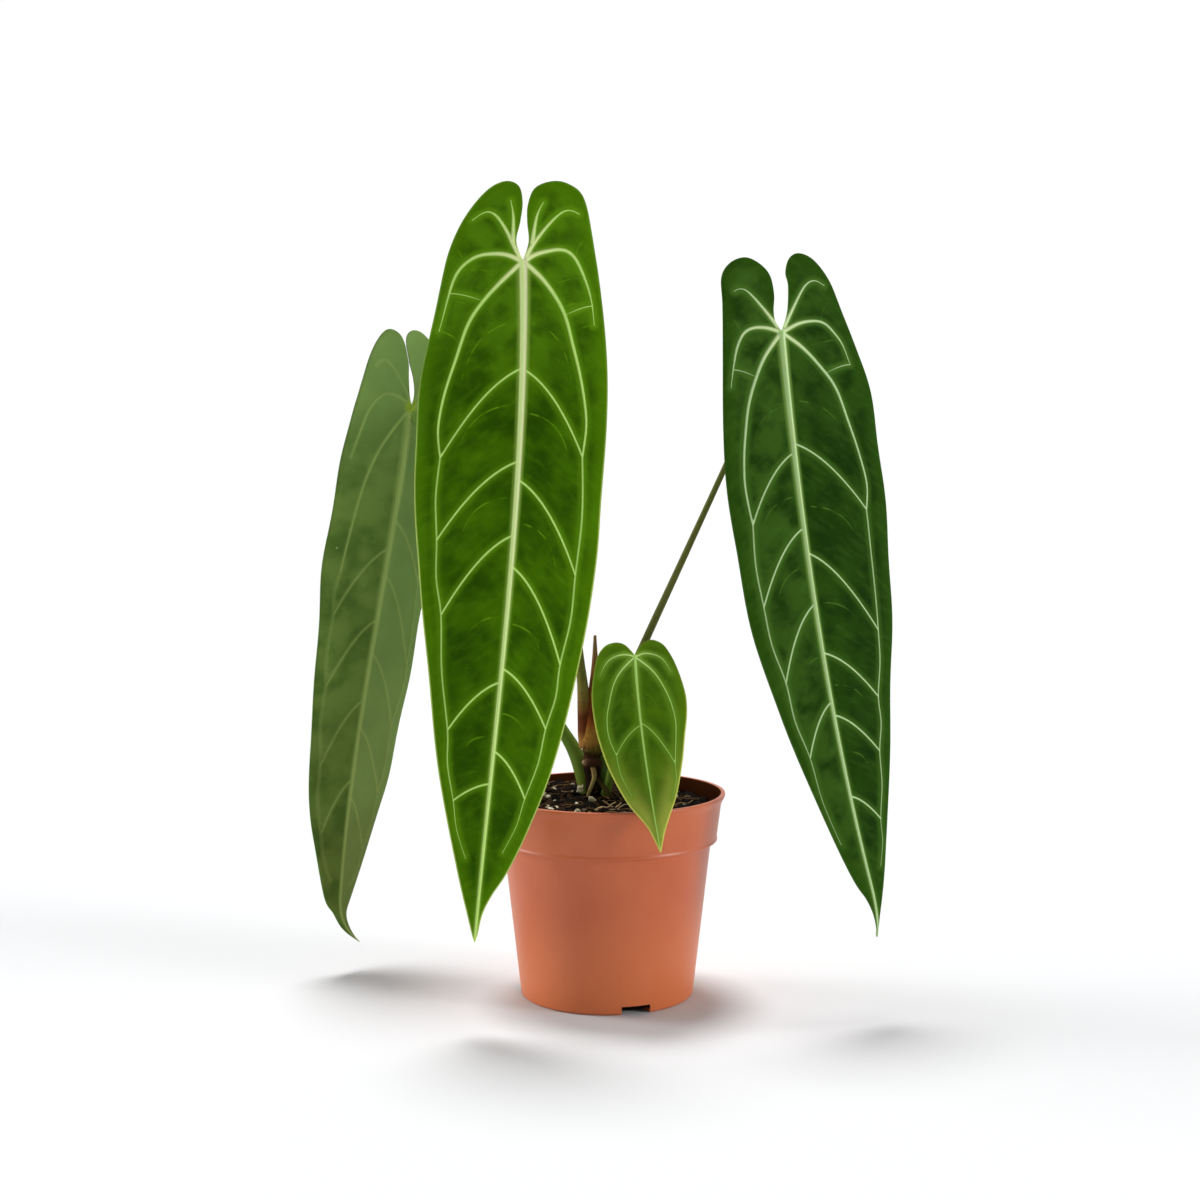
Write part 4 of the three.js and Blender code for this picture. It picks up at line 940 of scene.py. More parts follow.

        # Underside: greyer and paler, mottled, with painted light on the half that is turned to the
        # light, paler on the lobes, and the veins only a little lighter than the cells
        mottle = add_node(tree, "ShaderNodeMath", PLUS, {0: cloud, 1: patch})
        under = paint(tree, skin.under, (
            (skin.under_shade, [(mottle, 0.8, 1.2, 0.0, 1.0)]),
            # painted light on the half turned to the light; paler on the lobes
            (skin.under_pale_and_lit, [(across, -0.015, 0.015, 0.75, 0.0)],
             [(along, -0.12, 0.22, 0.75, 0.0)]),
            (skin.under_vein, [(midrib, 1.0, 2.6, 0.5, 0.0)]),
            (skin.under_vein, [(clear, 0.3, 1.6, 0.25, 0.0)]),
            (skin.under_vein, [branch, (along, -0.03, 0.04, 0.15, 0.6)], [rib]),
            ("86a22a", [(from_joint, 0.02, 0.045, 0.9, 0.0)])))

        # A few dried specks of hard water, half a millimetre wide, on either face
        dots = add_node(tree, "ShaderNodeTexVoronoi", inputs={"Vector": moved, "Scale": 3.4})
        colour = paint(tree, under, (
            (face, [upper]), ("c8d0a4", [(dots, 0.008, 0.02, 0.8, 0.0)])))

        # Velvet without gloss; the quilted cells and the grain break up what shine there is
        rough = add_node(tree, "ShaderNodeMapRange", SMOOTH, {
            0: grain, 1: 0.3, 2: 0.7, 3: skin.roughness - 0.05, 4: skin.roughness + 0.07})
        height = patch
        for layer, share in ((net, 0.35), (fine_net, 0.12), (grain, 0.3), (spread, 0.6)):
            height = add_node(tree, "ShaderNodeMath", TIMES_PLUS, {
                0: layer, 1: share, 2: height})
        bump = add_node(tree, "ShaderNodeBump", inputs={
            "Strength": 0.4, "Distance": 0.4 * MM, "Height": height})
        fill(tree, shader, {"Base Color": colour, "Roughness": rough,
                            "Specular IOR Level": skin.gloss, "Normal": bump})
        return material


def inside_ring(points: Array, ring: Array) -> Array:
    """Tell which points of a plane lie inside a closed ring."""
    inside = np.zeros(len(points), bool)
    x, y = points[:, 0], points[:, 1]
    for (ax, ay), (bx, by) in zip(ring, np.roll(ring, -1, axis=0)):
        if ay == by:
            continue
        crosses = ((ay > y) != (by > y)) & (x < (bx - ax) * (y - ay) / (by - ay) + ax)
        inside ^= crosses
    return inside


def thin_out(points: Array, fixed: Array, gap: float) -> Array:
    """Drop points that stand closer than a gap to fixed ones or to each other.

    Args:
        points: Points of a plane, the more important first.
        fixed: Points that stay in any case and aren't returned.
        gap: Least distance in millimetres.

    Returns:
        The points that are kept.
    """
    cells: dict[tuple[int, int], list[Array]] = {}

    def clear_of(p: Array) -> bool:
        """Tell whether no kept point is near this one."""
        i, j = int(p[0] // gap), int(p[1] // gap)
        near = (q for u in (-1, 0, 1) for v in (-1, 0, 1) for q in cells.get((i + u, j + v), ()))
        return all((p[0] - q[0]) ** 2 + (p[1] - q[1]) ** 2 > gap * gap for q in near)

    for q in fixed:
        cells.setdefault((int(q[0] // gap), int(q[1] // gap)), []).append(q)
    kept = []
    for p in points:
        if clear_of(p):
            kept.append(p)
            cells.setdefault((int(p[0] // gap), int(p[1] // gap)), []).append(p)
    return np.array(kept)


# Geometry Nodes

def geometry_tree(name: str, sockets: dict[str, str]) -> tuple[Tree, Node]:
    """Start a geometry tree with a Geometry input and output and further named inputs.

    Args:
        name: The tree's name.
        sockets: For each further input its name and kind, such as Float.

    Returns:
        The tree and its Group Input node.
    """
    tree = bpy.data.node_groups.new(name, "GeometryNodeTree")
    for label, kind in {"Geometry": "Geometry", **sockets}.items():
        tree.interface.new_socket(label, in_out="INPUT", socket_type="NodeSocket" + kind)
    tree.interface.new_socket("Geometry", in_out="OUTPUT", socket_type="NodeSocketGeometry")
    return tree, add_node(tree, "NodeGroupInput")


def close_tree(tree: Tree, start: Node, geometry: Node) -> Tree:
    """End a tree in Realize Instances, smooth shading and Set Material, and return it.

    Args:
        tree: The tree to end.
        start: Its Group Input node, which has a Material input.
        geometry: The node that gives the finished shape.

    Returns:
        The same tree.
    """
    real = add_node(tree, "GeometryNodeRealizeInstances", inputs={"Geometry": geometry})
    smooth = add_node(tree, "GeometryNodeSetShadeSmooth", inputs={"Geometry": real})
    dressed = add_node(tree, "GeometryNodeSetMaterial", inputs={
        "Geometry": smooth, "Material": start.outputs["Material"]})
    add_node(tree, "NodeGroupOutput", inputs={"Geometry": dressed})
    return tree


def grow(source: Piece, tree: Tree, values: dict[str, Any], name: str) -> Piece:
    """Run a geometry tree on an object and keep the result as a plain mesh.

    Args:
        source: The object that carries the tree's input; it is removed.
        tree: The geometry tree.
        values: The tree's inputs by name.
        name: Name of the new piece.

    Returns:
        A new object without modifiers.
    """
    modifier = source.modifiers.new("grow", "NODES")
    modifier.node_group = tree
    for item in tree.interface.items_tree:
        if item.in_out == "INPUT" and item.name in values:
            modifier[item.identifier] = values[item.name]
    graph = bpy.context.evaluated_depsgraph_get()
    graph.update()
    mesh = bpy.data.meshes.new_from_object(source.evaluated_get(graph), depsgraph=graph)
    mesh.name = name
    bpy.data.objects.remove(source, do_unlink=True)
    return placed(name, mesh)


def stalk_tree() -> Tree:
    """Tree that swells a line of points into a round stalk by its radius attribute."""
    tree, start = geometry_tree("round_stalk", {
        "Sides": "Int", "Ripple": "Float", "Ripple scale": "Float", "Seed": "Float",
        "Material": "Material"})
    line = add_node(tree, "GeometryNodeMeshToCurve", inputs={"Mesh": start.outputs["Geometry"]})
    radius = add_node(tree, "GeometryNodeInputNamedAttribute", NUMBER, {"Name": "radius"})
    circle = add_node(tree, "GeometryNodeCurvePrimitiveCircle", {"mode": "RADIUS"}, {
        "Resolution": start.outputs["Sides"], "Radius": 1.0})
    tube = add_node(tree, "GeometryNodeCurveToMesh", inputs={
        "Curve": line, "Profile Curve": circle, "Scale": radius, "Fill Caps": True})
    place = add_node(tree, "GeometryNodeInputPosition")
    lumps = add_node(tree, "ShaderNodeTexNoise", {"noise_dimensions": "4D"}, {
        "Vector": place, "W": start.outputs["Seed"], "Scale": start.outputs["Ripple scale"],
        "Detail": 2.0})
    centred = add_node(tree, "ShaderNodeMath", MINUS, {0: lumps, 1: 0.5})
    amount = add_node(tree, "ShaderNodeMath", TIMES, {0: centred, 1: start.outputs["Ripple"]})
    normal = add_node(tree, "GeometryNodeInputNormal")
    push = add_node(tree, "ShaderNodeVectorMath", SCALED, {0: normal, "Scale": amount})
    moved = add_node(tree, "GeometryNodeSetPosition", inputs={"Geometry": tube, "Offset": push})
    return close_tree(tree, start, moved)


def strewn(tree: Tree, start: Node, thing: Node, size: Node, tilt: Any, axes: str, seed: int) -> Node:
    """Strew copies of a thing over the tree's input surface, each with its turn and tone.

    Args:
        tree: The geometry tree.
        start: Its Group Input node, with Density and Seed inputs.
        thing: The node that makes the thing.
        size: The node that gives each copy's scale.
        tilt: Greatest lean in radians, as a value or a socket.
        axes: The axes about which the copies lean.
        seed: Seed of the turns; the leans and tones take the next two.

    Returns:
        The node that gives the real copies, with a tone attribute.
    """
    points = add_node(tree, "GeometryNodeDistributePointsOnFaces", inputs={
        "Mesh": start.outputs["Geometry"], "Density": start.outputs["Density"],
        "Seed": start.outputs["Seed"]})
    spin, lean, tone = (
        add_node(tree, "FunctionNodeRandomValue", NUMBER, {2: low, 3: high, "Seed": seed + i})
        for i, (low, high) in enumerate(((0.0, 2 * math.pi), (-1.0, 1.0), (0.0, 1.0))))
    tilted = add_node(tree, "ShaderNodeMath", TIMES, {0: lean, 1: tilt})
    turn = add_node(tree, "ShaderNodeCombineXYZ", inputs={
        "Z": spin, **dict.fromkeys(axes, tilted)})
    copies = add_node(tree, "GeometryNodeInstanceOnPoints", inputs={
        "Points": points, "Instance": thing, "Rotation": turn, "Scale": size})
    toned = add_node(tree, "GeometryNodeStoreNamedAttribute", {**NUMBER, "domain": "INSTANCE"}, {
        "Geometry": copies, "Name": "tone", "Value": tone})
    return add_node(tree, "GeometryNodeRealizeInstances", inputs={"Geometry": toned})


def shaken(tree: Tree, start: Node, shape: Node, noise_inputs: dict[str, Any], middle: Point3,
           amount: str) -> Node:
    """Push each point of a shape by a noise of its place, and sink the whole.

    Args:
        tree: The geometry tree.
        start: Its Group Input node, with a Sink input.
        shape: The node that gives the shape.
        noise_inputs: Scale and detail of the noise.
        middle: The noise that moves nothing.
        amount: Name of the input that holds the strength.

    Returns:
        The node that gives the pushed shape.
    """
    place = add_node(tree, "GeometryNodeInputPosition")
    rough = add_node(tree, "ShaderNodeTexNoise", inputs={"Vector": place, **noise_inputs})
    centred = add_node(tree, "ShaderNodeVectorMath", MINUS, {
        0: rough.outputs["Color"], 1: middle})
    push = add_node(tree, "ShaderNodeVectorMath", SCALED, {
        0: centred, "Scale": start.outputs[amount]})
    fall = add_node(tree, "ShaderNodeCombineXYZ", inputs={"Z": start.outputs["Sink"]})
    shift = add_node(tree, "ShaderNodeVectorMath", MINUS, {0: push, 1: fall})
    return add_node(tree, "GeometryNodeSetPosition", inputs={"Geometry": shape, "Offset": shift})


def scatter_tree() -> Tree:
    """Tree that strews rough lumps over a surface, each with its own size, turn and tone."""
    tree, start = geometry_tree("strewn_lumps", {
        "Density": "Float", "Seed": "Int", "Smallest": "Vector", "Largest": "Vector",
        "Tilt": "Float", "Sink": "Float", "Roughness": "Float", "Roughness scale": "Float",
        "Subdivisions": "Int", "Material": "Material"})
    lump = add_node(tree, "GeometryNodeMeshIcoSphere", inputs={
        "Radius": 0.5, "Subdivisions": start.outputs["Subdivisions"]})
    size = add_node(tree, "FunctionNodeRandomValue", {"data_type": "FLOAT_VECTOR"}, {
        0: start.outputs["Smallest"], 1: start.outputs["Largest"], "Seed": start.outputs["Seed"]})
    lumps = strewn(tree, start, lump, size, start.outputs["Tilt"], "XY", 11)
    grain = {"Scale": start.outputs["Roughness scale"], "Detail": 2.0}
    moved = shaken(tree, start, lumps, grain, (0.5, 0.5, 0.5), "Roughness")
    return close_tree(tree, start, moved)


def fibre_tree() -> Tree:
    """Tree that strews thin bent fibres and rootlets over a surface."""
    tree, start = geometry_tree("strewn_fibres", {
        "Density": "Float", "Seed": "Int", "Shortest": "Float", "Longest": "Float",
        "Radius": "Float", "Bend": "Float", "Sink": "Float", "Material": "Material"})
    line = add_node(tree, "GeometryNodeMeshLine", {"mode": "END_POINTS"}, {
        "Count": 9, "Start Location": (-0.5, 0.0, 0.0), "Offset": (0.5, 0.0, 0.0)})
    length = add_node(tree, "FunctionNodeRandomValue", NUMBER, {
        2: start.outputs["Shortest"], 3: start.outputs["Longest"], "Seed": 21})
    laid = strewn(tree, start, line, length, 0.25, "Y", 22)
    bent = shaken(tree, start, laid, {"Scale": 95.0, "Detail": 1.0}, (0.5, 0.5, 0.45), "Bend")
    curve = add_node(tree, "GeometryNodeMeshToCurve", inputs={"Mesh": bent})
    profile = add_node(tree, "GeometryNodeCurvePrimitiveCircle", {"mode": "RADIUS"}, {
        "Resolution": 5, "Radius": start.outputs["Radius"]})
    tube = add_node(tree, "GeometryNodeCurveToMesh", inputs={
        "Curve": curve, "Profile Curve": profile, "Fill Caps": True})
    return close_tree(tree, start, tube)


# Stalks, cane, roots and sheath

@dataclass(frozen=True)
class StalkSkin:
    """Colours of a smooth or barky round growing part, from its foot to its top."""

    name: str
    stops: tuple[tuple[float, str], ...]
    fleck: str
    fleck_share: float
    roughness: float
    bump: float
    grain_mm: float

    def material(self) -> Material:
        """Waxed or corky plant skin: colour runs along it, with small corky flecks."""
        material, tree, shader = new_material(self.name)
        along = add_node(tree, "ShaderNodeAttribute", {"attribute_name": "along"}).outputs["Fac"]
        place = add_node(tree, "ShaderNodeTexCoord").outputs["Object"]
        cloud = add_node(tree, "ShaderNodeTexNoise", inputs={
            "Vector": place, "Scale": 90.0, "Detail": 3.0})
        shifted = add_node(tree, "ShaderNodeMath", TIMES_PLUS, {0: cloud, 1: 0.12, 2: -0.06})
        stage = add_node(tree, "ShaderNodeMath", PLUS, {0: along, 1: shifted})
        ramp = set_ramp(add_node(tree, "ShaderNodeValToRGB", inputs={0: stage}), self.stops)
        stretched = add_node(tree, "ShaderNodeMapping", inputs={
            "Vector": place, "Scale": (1.0, 1.0, 0.45)})
        flecks = add_node(tree, "ShaderNodeTexNoise", inputs={
            "Vector": stretched, "Scale": 1 / (self.grain_mm * MM), "Detail": 3.0,
            "Roughness": 0.65})
        colour = paint(tree, ramp, ((self.fleck, [(flecks, 0.52, 0.68, 0.0, self.fleck_share)]),))
        bump = add_node(tree, "ShaderNodeBump", inputs={
            "Strength": self.bump, "Distance": 0.5 * MM, "Height": flecks})
        fill(tree, shader, {"Base Color": colour, "Roughness": self.roughness,
                            "Specular IOR Level": 0.1, "Normal": bump})
        return material


@dataclass
class Stalk:
    """A round growing part along stations of x, y, z and radius."""

    name: str
    node: str
    slot: str
    stations: tuple[Station, ...]
    skin: StalkSkin
    sides: int = 24
    ripple: float = 0.1
    ripple_size: float = 4.0
    seed: float = 0.0
    steps: int = 12

    def build(self, tree: Tree) -> Piece:
        """Grow the stalk along its line with the stalk tree, and dress it."""
        rows = np.array(self.stations, float)
        line = growing_line(rows[:, :3], self.steps)
        radius = smooth_line(rows[:, 3:], self.steps)[:, 0]
        mesh = bpy.data.meshes.new(self.name + "_line")
        edges = [(i, i + 1) for i in range(len(line) - 1)]
        mesh.from_pydata((line * MM).tolist(), edges, [])
        source = placed(self.name + "_line", mesh)
        store(source, "radius", radius * MM)
        store(source, "along", np.linspace(0, 1, len(line)))
        piece = grow(source, tree, {
            "Sides": self.sides, "Ripple": self.ripple * MM,
            "Ripple scale": 1 / (self.ripple_size * MM), "Seed": self.seed,
            "Material": self.skin.material()}, self.name)
        return finish_piece(outward(piece), self.slot, self.node)


@dataclass
class DrySheath:
    """The pointed brown sheath that stays beside the newest stalk: an open, tapering half tube."""

    stations: tuple[Station, ...] = (
        (-8.6, 12, 123.5, 5.1), (-8.8, 12, 127, 4.9), (-8.4, 11.8, 132, 4.6),
        (-7.2, 11.4, 140, 4.2), (-6.4, 11.2, 150, 3.5), (-6.1, 11.2, 159, 2.3),
        (-6.2, 11.1, 170, 0.9), (-6.2, 11, 182.5, 0.05))
    facing: float = -38
    spread: float = 122
    fray: float = 2.6
    ribs: int = 9
    rib_height: float = 0.05
    wall: float = 0.7
    columns: int = 24
    steps: int = 10

    def build(self) -> Piece:
        """Bend two skins round the stalk, join their edges and dress the sheath."""
        rows = smooth_line(self.stations, self.steps)
        angles = np.radians(self.facing + np.linspace(-self.spread, self.spread, self.columns))
        skins = []
        for extra in (self.wall, 0.0):
            radius = np.maximum(rows[:, 3], 0.05) + extra
            rib = self.rib_height * np.sin(angles * self.ribs)
            crease = 1 + rib[None, :] * ease((rows[:, 2] - 125) / 30)[:, None]
            x = rows[:, 0][:, None] + radius[:, None] * crease * np.cos(angles)[None, :]
            y = rows[:, 1][:, None] + radius[:, None] * crease * np.sin(angles)[None, :]
            torn = self.fray * (0.5 + 0.5 * np.sin(angles * 13) * np.cos(angles * 5.3 + 1))
            z = rows[:, 2][:, None] + torn[None, :] * (1 - ease((rows[:, 2] - rows[0, 2]) / 6))[:, None]
            skins.append(np.stack([x, y, z], axis=2).reshape(-1, 3))
        count = len(skins[0])
        quads = []
        for i in range(len(rows) - 1):
            for j in range(self.columns - 1):
                a = i * self.columns + j
                quads.append((a, a + 1, a + self.columns + 1, a + self.columns))
        both = quads + [tuple(v + count for v in reversed(q)) for q in quads]
        sides = {(q[k], q[(k + 1) % 4]) for q in quads for k in range(4)}
        both += [(b, a, a + count, b + count) for a, b in sorted(sides) if (b, a) not in sides]
        piece = mesh_piece("dry_sheath", np.vstack(skins), both, self.dress(), 70)
        low, high = rows[0, 2], rows[-1, 2]
        store(piece, "along", np.tile(np.repeat((rows[:, 2] - low) / (high - low), self.columns), 2))
        return finish_piece(outward(piece), "sheath", "sheath")

    def dress(self) -> Material:
        """Dried papery leaf base, red-brown with lengthwise ribs."""
        skin = StalkSkin("dried_papery_sheath", (
            (0.0, "8a5a2a"), (0.07, "b07c3e"), (0.15, "c4883c"), (0.24, "96501e"), (0.33, "6e3010"),
            (0.5, "8a4c24"), (0.75, "9a6a40"), (1.0, "a08464")), "5a2c14", 0.5, 0.7, 0.5, 0.7)
        return skin.material()


# Soil

@dataclass
class SoilBed:
    """Moist bark and peat mix with fibres and perlite, level with the collar."""

    edge_height: float = 97.6
    slope: Point2 = (-0.045, 0.03)
    mound: Point3 = (-5, 12, 1.8)
    mound_spread: float = 17
    lump: float = 0.9
    radius: float = 55.4
    rings: int = 60
    sectors: int = 180
    crumb: float = 0.35
    lump_reach: float = 52.5
    fibre_reach: float = 49
    # Radius and height of the rings below the top, from the pot's shoulder down to its floor
    lower_rings: tuple[Point2, ...] = ((53.7, 80.4), (50.6, 79.4), (43.0, 5.4), (41.0, 2.2))
    # Large perlite grains: place across and in depth, height above the soil, size
    grains: tuple[Station, ...] = (
        (-7.7, -0.6, 0.4, 3.7), (-13.6, 7.5, 3.9, 4.0), (-29.2, -17, 0.5, 3.4), (-14.8, -25, 0.4, 3.2),
        (-32.8, 10.6, 0.4, 3.0), (-11.5, -23, 0.2, 2.6), (31, 12, 0.4, 2.8))

    def height(self, x: Array, y: Array) -> Array:
        """Height of the soil's top at places of its plane, in millimetres."""
        mx, my, mh = self.mound
        mound = np.exp(-((x - mx) ** 2 + (y - my) ** 2) / (2 * self.mound_spread ** 2))
        lumps = np.sin(x * 0.61 + 1.3) * np.cos(y * 0.57) + 0.7 * np.sin(x * 0.33 - y * 0.41)
        return self.edge_height + self.slope[0] * x + self.slope[1] * y + mh * mound + self.lump * lumps

    def bed(self, material: Material) -> Piece:
        """Make the closed body of the soil with a finely lumped top."""
        rng = np.random.default_rng(7)
        angles = np.linspace(0, 2 * math.pi, self.sectors, endpoint=False)
        rows = []
        for i in range(1, self.rings + 1):
            r = self.radius * i / self.rings
            x, y = r * np.cos(angles), r * np.sin(angles)
            crumb = rng.normal(0, self.crumb, self.sectors) if i < self.rings else 0
            rows.append(np.stack([x, y, self.height(x, y) + crumb], axis=1))
        for r, z in self.lower_rings:
            rows.append(np.stack([r * np.cos(angles), r * np.sin(angles),
                                  np.full(self.sectors, z)], axis=1))
        top = np.array([[0, 0, float(self.height(np.zeros(1), np.zeros(1))[0])]])
        points = np.vstack([top, *rows, [[0, 0, self.lower_rings[-1][1]]]])
        return mesh_piece("soil_bed", points, ring_faces(len(rows), self.sectors), material, 180)

    def cover(self, reach: float) -> Piece:
        """Make a loose sheet over the soil's top, out to a radius, for things to lie on."""
        steps = 16
        grid = np.linspace(-reach, reach, 2 * steps + 1)
        x, y = np.meshgrid(grid, grid)
        points = np.stack([x, y, self.height(x, y)], axis=2).reshape(-1, 3)
        width = len(grid)
        faces = []
        for i in range(width - 1):
            for j in range(width - 1):
                a = i * width + j
                corners = (a, a + 1, a + width + 1, a + width)
                if all(np.hypot(*points[c, :2]) <= reach for c in corners):
                    faces.append(corners)
        return mesh_piece("soil_cover", points, faces, self.dress_soil(), 180)

    def build(self, strew: Tree, fibres: Tree) -> list[Piece]:
        """Make the bed and strew bark, crumbs, perlite and fibres over it."""
        dark = self.dress_soil()
        bark = self.dress_lump("shredded_pine_bark", ("0e0805", "20140c", "3c2817"), 0.85)
        pale = self.dress_lump("expanded_perlite", ("8a7a60", "cbbd9f", "e6dcc6"), 0.9)
        thread = self.dress_lump("coir_fibre", ("22150c", "463019", "86663e"), 0.8)
        rootlet = self.dress_lump("dry_rootlet", ("3c2c1c", "7a6244", "b49c74"), 0.85)
        bed = finish_piece(outward(self.bed(dark)), "soil", "soil")
        # Name, material, number on a square metre, seed, least and greatest size, lean in radians,
        # sink, roughness, its fineness and the number of subdivisions
        loads = (
            ("bark_chips", bark, 42000, 3, (2.5, 1.4, 0.8), (7.5, 3.6, 2.2), 0.5, 0.1, 1.6, 420, 2),
            ("soil_crumbs", dark, 420000, 5, (0.8, 0.8, 0.6), (2.4, 2.0, 1.5), 0.7, 0.0, 0.9, 800, 1),
            ("perlite_grains", pale, 4600, 8, (1.6, 1.4, 1.2), (3.6, 3.0, 2.6), 0.6, -0.3, 1.2, 500, 2),
        )
        pieces = [bed]
        for name, material, density, seed, least, most, tilt, sink, rough, scale, cuts in loads:
            pieces.append(grow(self.cover(self.lump_reach), strew, {
                "Density": float(density), "Seed": seed,
                "Smallest": tuple(v * MM for v in least), "Largest": tuple(v * MM for v in most),
                "Tilt": tilt, "Sink": sink * MM, "Roughness": rough * MM,
                "Roughness scale": float(scale), "Subdivisions": cuts, "Material": material}, name))
        for name, material, density, seed, radius, lift in (
                ("soil_fibres", thread, 15000.0, 9, 0.22, 0.9),
                ("pale_rootlets", rootlet, 2200.0, 14, 0.28, 1.5)):
            pieces.append(grow(self.cover(self.fibre_reach), fibres, {
                "Density": density, "Seed": seed, "Shortest": 6 * MM, "Longest": 17 * MM,
                "Radius": radius * MM, "Bend": 8 * MM, "Sink": -lift * MM, "Material": material},
                name))
        pieces.append(self.large_grains(pale))
        return [bed, *(finish_piece(piece, "soil") for piece in pieces[1:])]

    def large_grains(self, material: Material) -> Piece:
        """Make the few large perlite grains that lie round the foot of the cane."""
        shape = bmesh.new()
        for x, y, lift, size in self.grains:
            z = float(self.height(np.array([x]), np.array([y]))[0]) + lift
            made = bmesh.ops.create_icosphere(shape, subdivisions=3, radius=size / 2)
            for v in made["verts"]:
                dent = noise.noise(v.co * (2.6 / size) + Vector((x, y, z)))
                v.co = v.co * (1 + 0.7 * dent) + Vector((x, y, z))
        rows = np.array([v.co[:] for v in shape.verts])
        faces = [tuple(v.index for v in face.verts) for face in shape.faces]
        shape.free()
        piece = mesh_piece("large_perlite", rows, faces, material, 180)
        store(piece, "tone", np.full(len(rows), 0.3))
        return piece

    def dress_soil(self) -> Material:
        """Moist peat: near black and rough, with a damp glint on its crumbs."""
        return self.dress_lump("moist_peat", ("070402", "120a06", "22160d"), 0.8)

    def dress_lump(self, name: str, tones: tuple[str, str, str], roughness: float) -> Material:
        """Make the material of one kind of loose matter.

        Args:
            name: What it is.
            tones: Dark, middle and light colour.
            roughness: Principled roughness.

        Returns:
            A material whose tone differs from lump to lump and within each.
        """
        material, tree, shader = new_material(name)
        tone = add_node(tree, "ShaderNodeAttribute", {"attribute_name": "tone"}).outputs["Fac"]
        place = add_node(tree, "ShaderNodeTexCoord").outputs["Object"]
        # Grain about 1.5 mm wide
        grain = add_node(tree, "ShaderNodeTexNoise", inputs={
            "Vector": place, "Scale": 650.0, "Detail": 4.0, "Roughness": 0.6})
        part = add_node(tree, "ShaderNodeMath", TIMES_PLUS, {0: tone, 1: 0.55, 2: -0.15})
        share = add_node(tree, "ShaderNodeMath", PLUS, {0: part, 1: grain})
        ramp = set_ramp(add_node(tree, "ShaderNodeValToRGB", inputs={0: share}),
                        tuple(zip((0.25, 0.5, 0.85), tones)))
        bump = add_node(tree, "ShaderNodeBump", inputs={
            "Strength": 0.7, "Distance": 0.6 * MM, "Height": grain})
        fill(tree, shader, {"Base Color": ramp, "Roughness": roughness,
                            "Specular IOR Level": 0.06, "Normal": bump})
        return material


# Pot

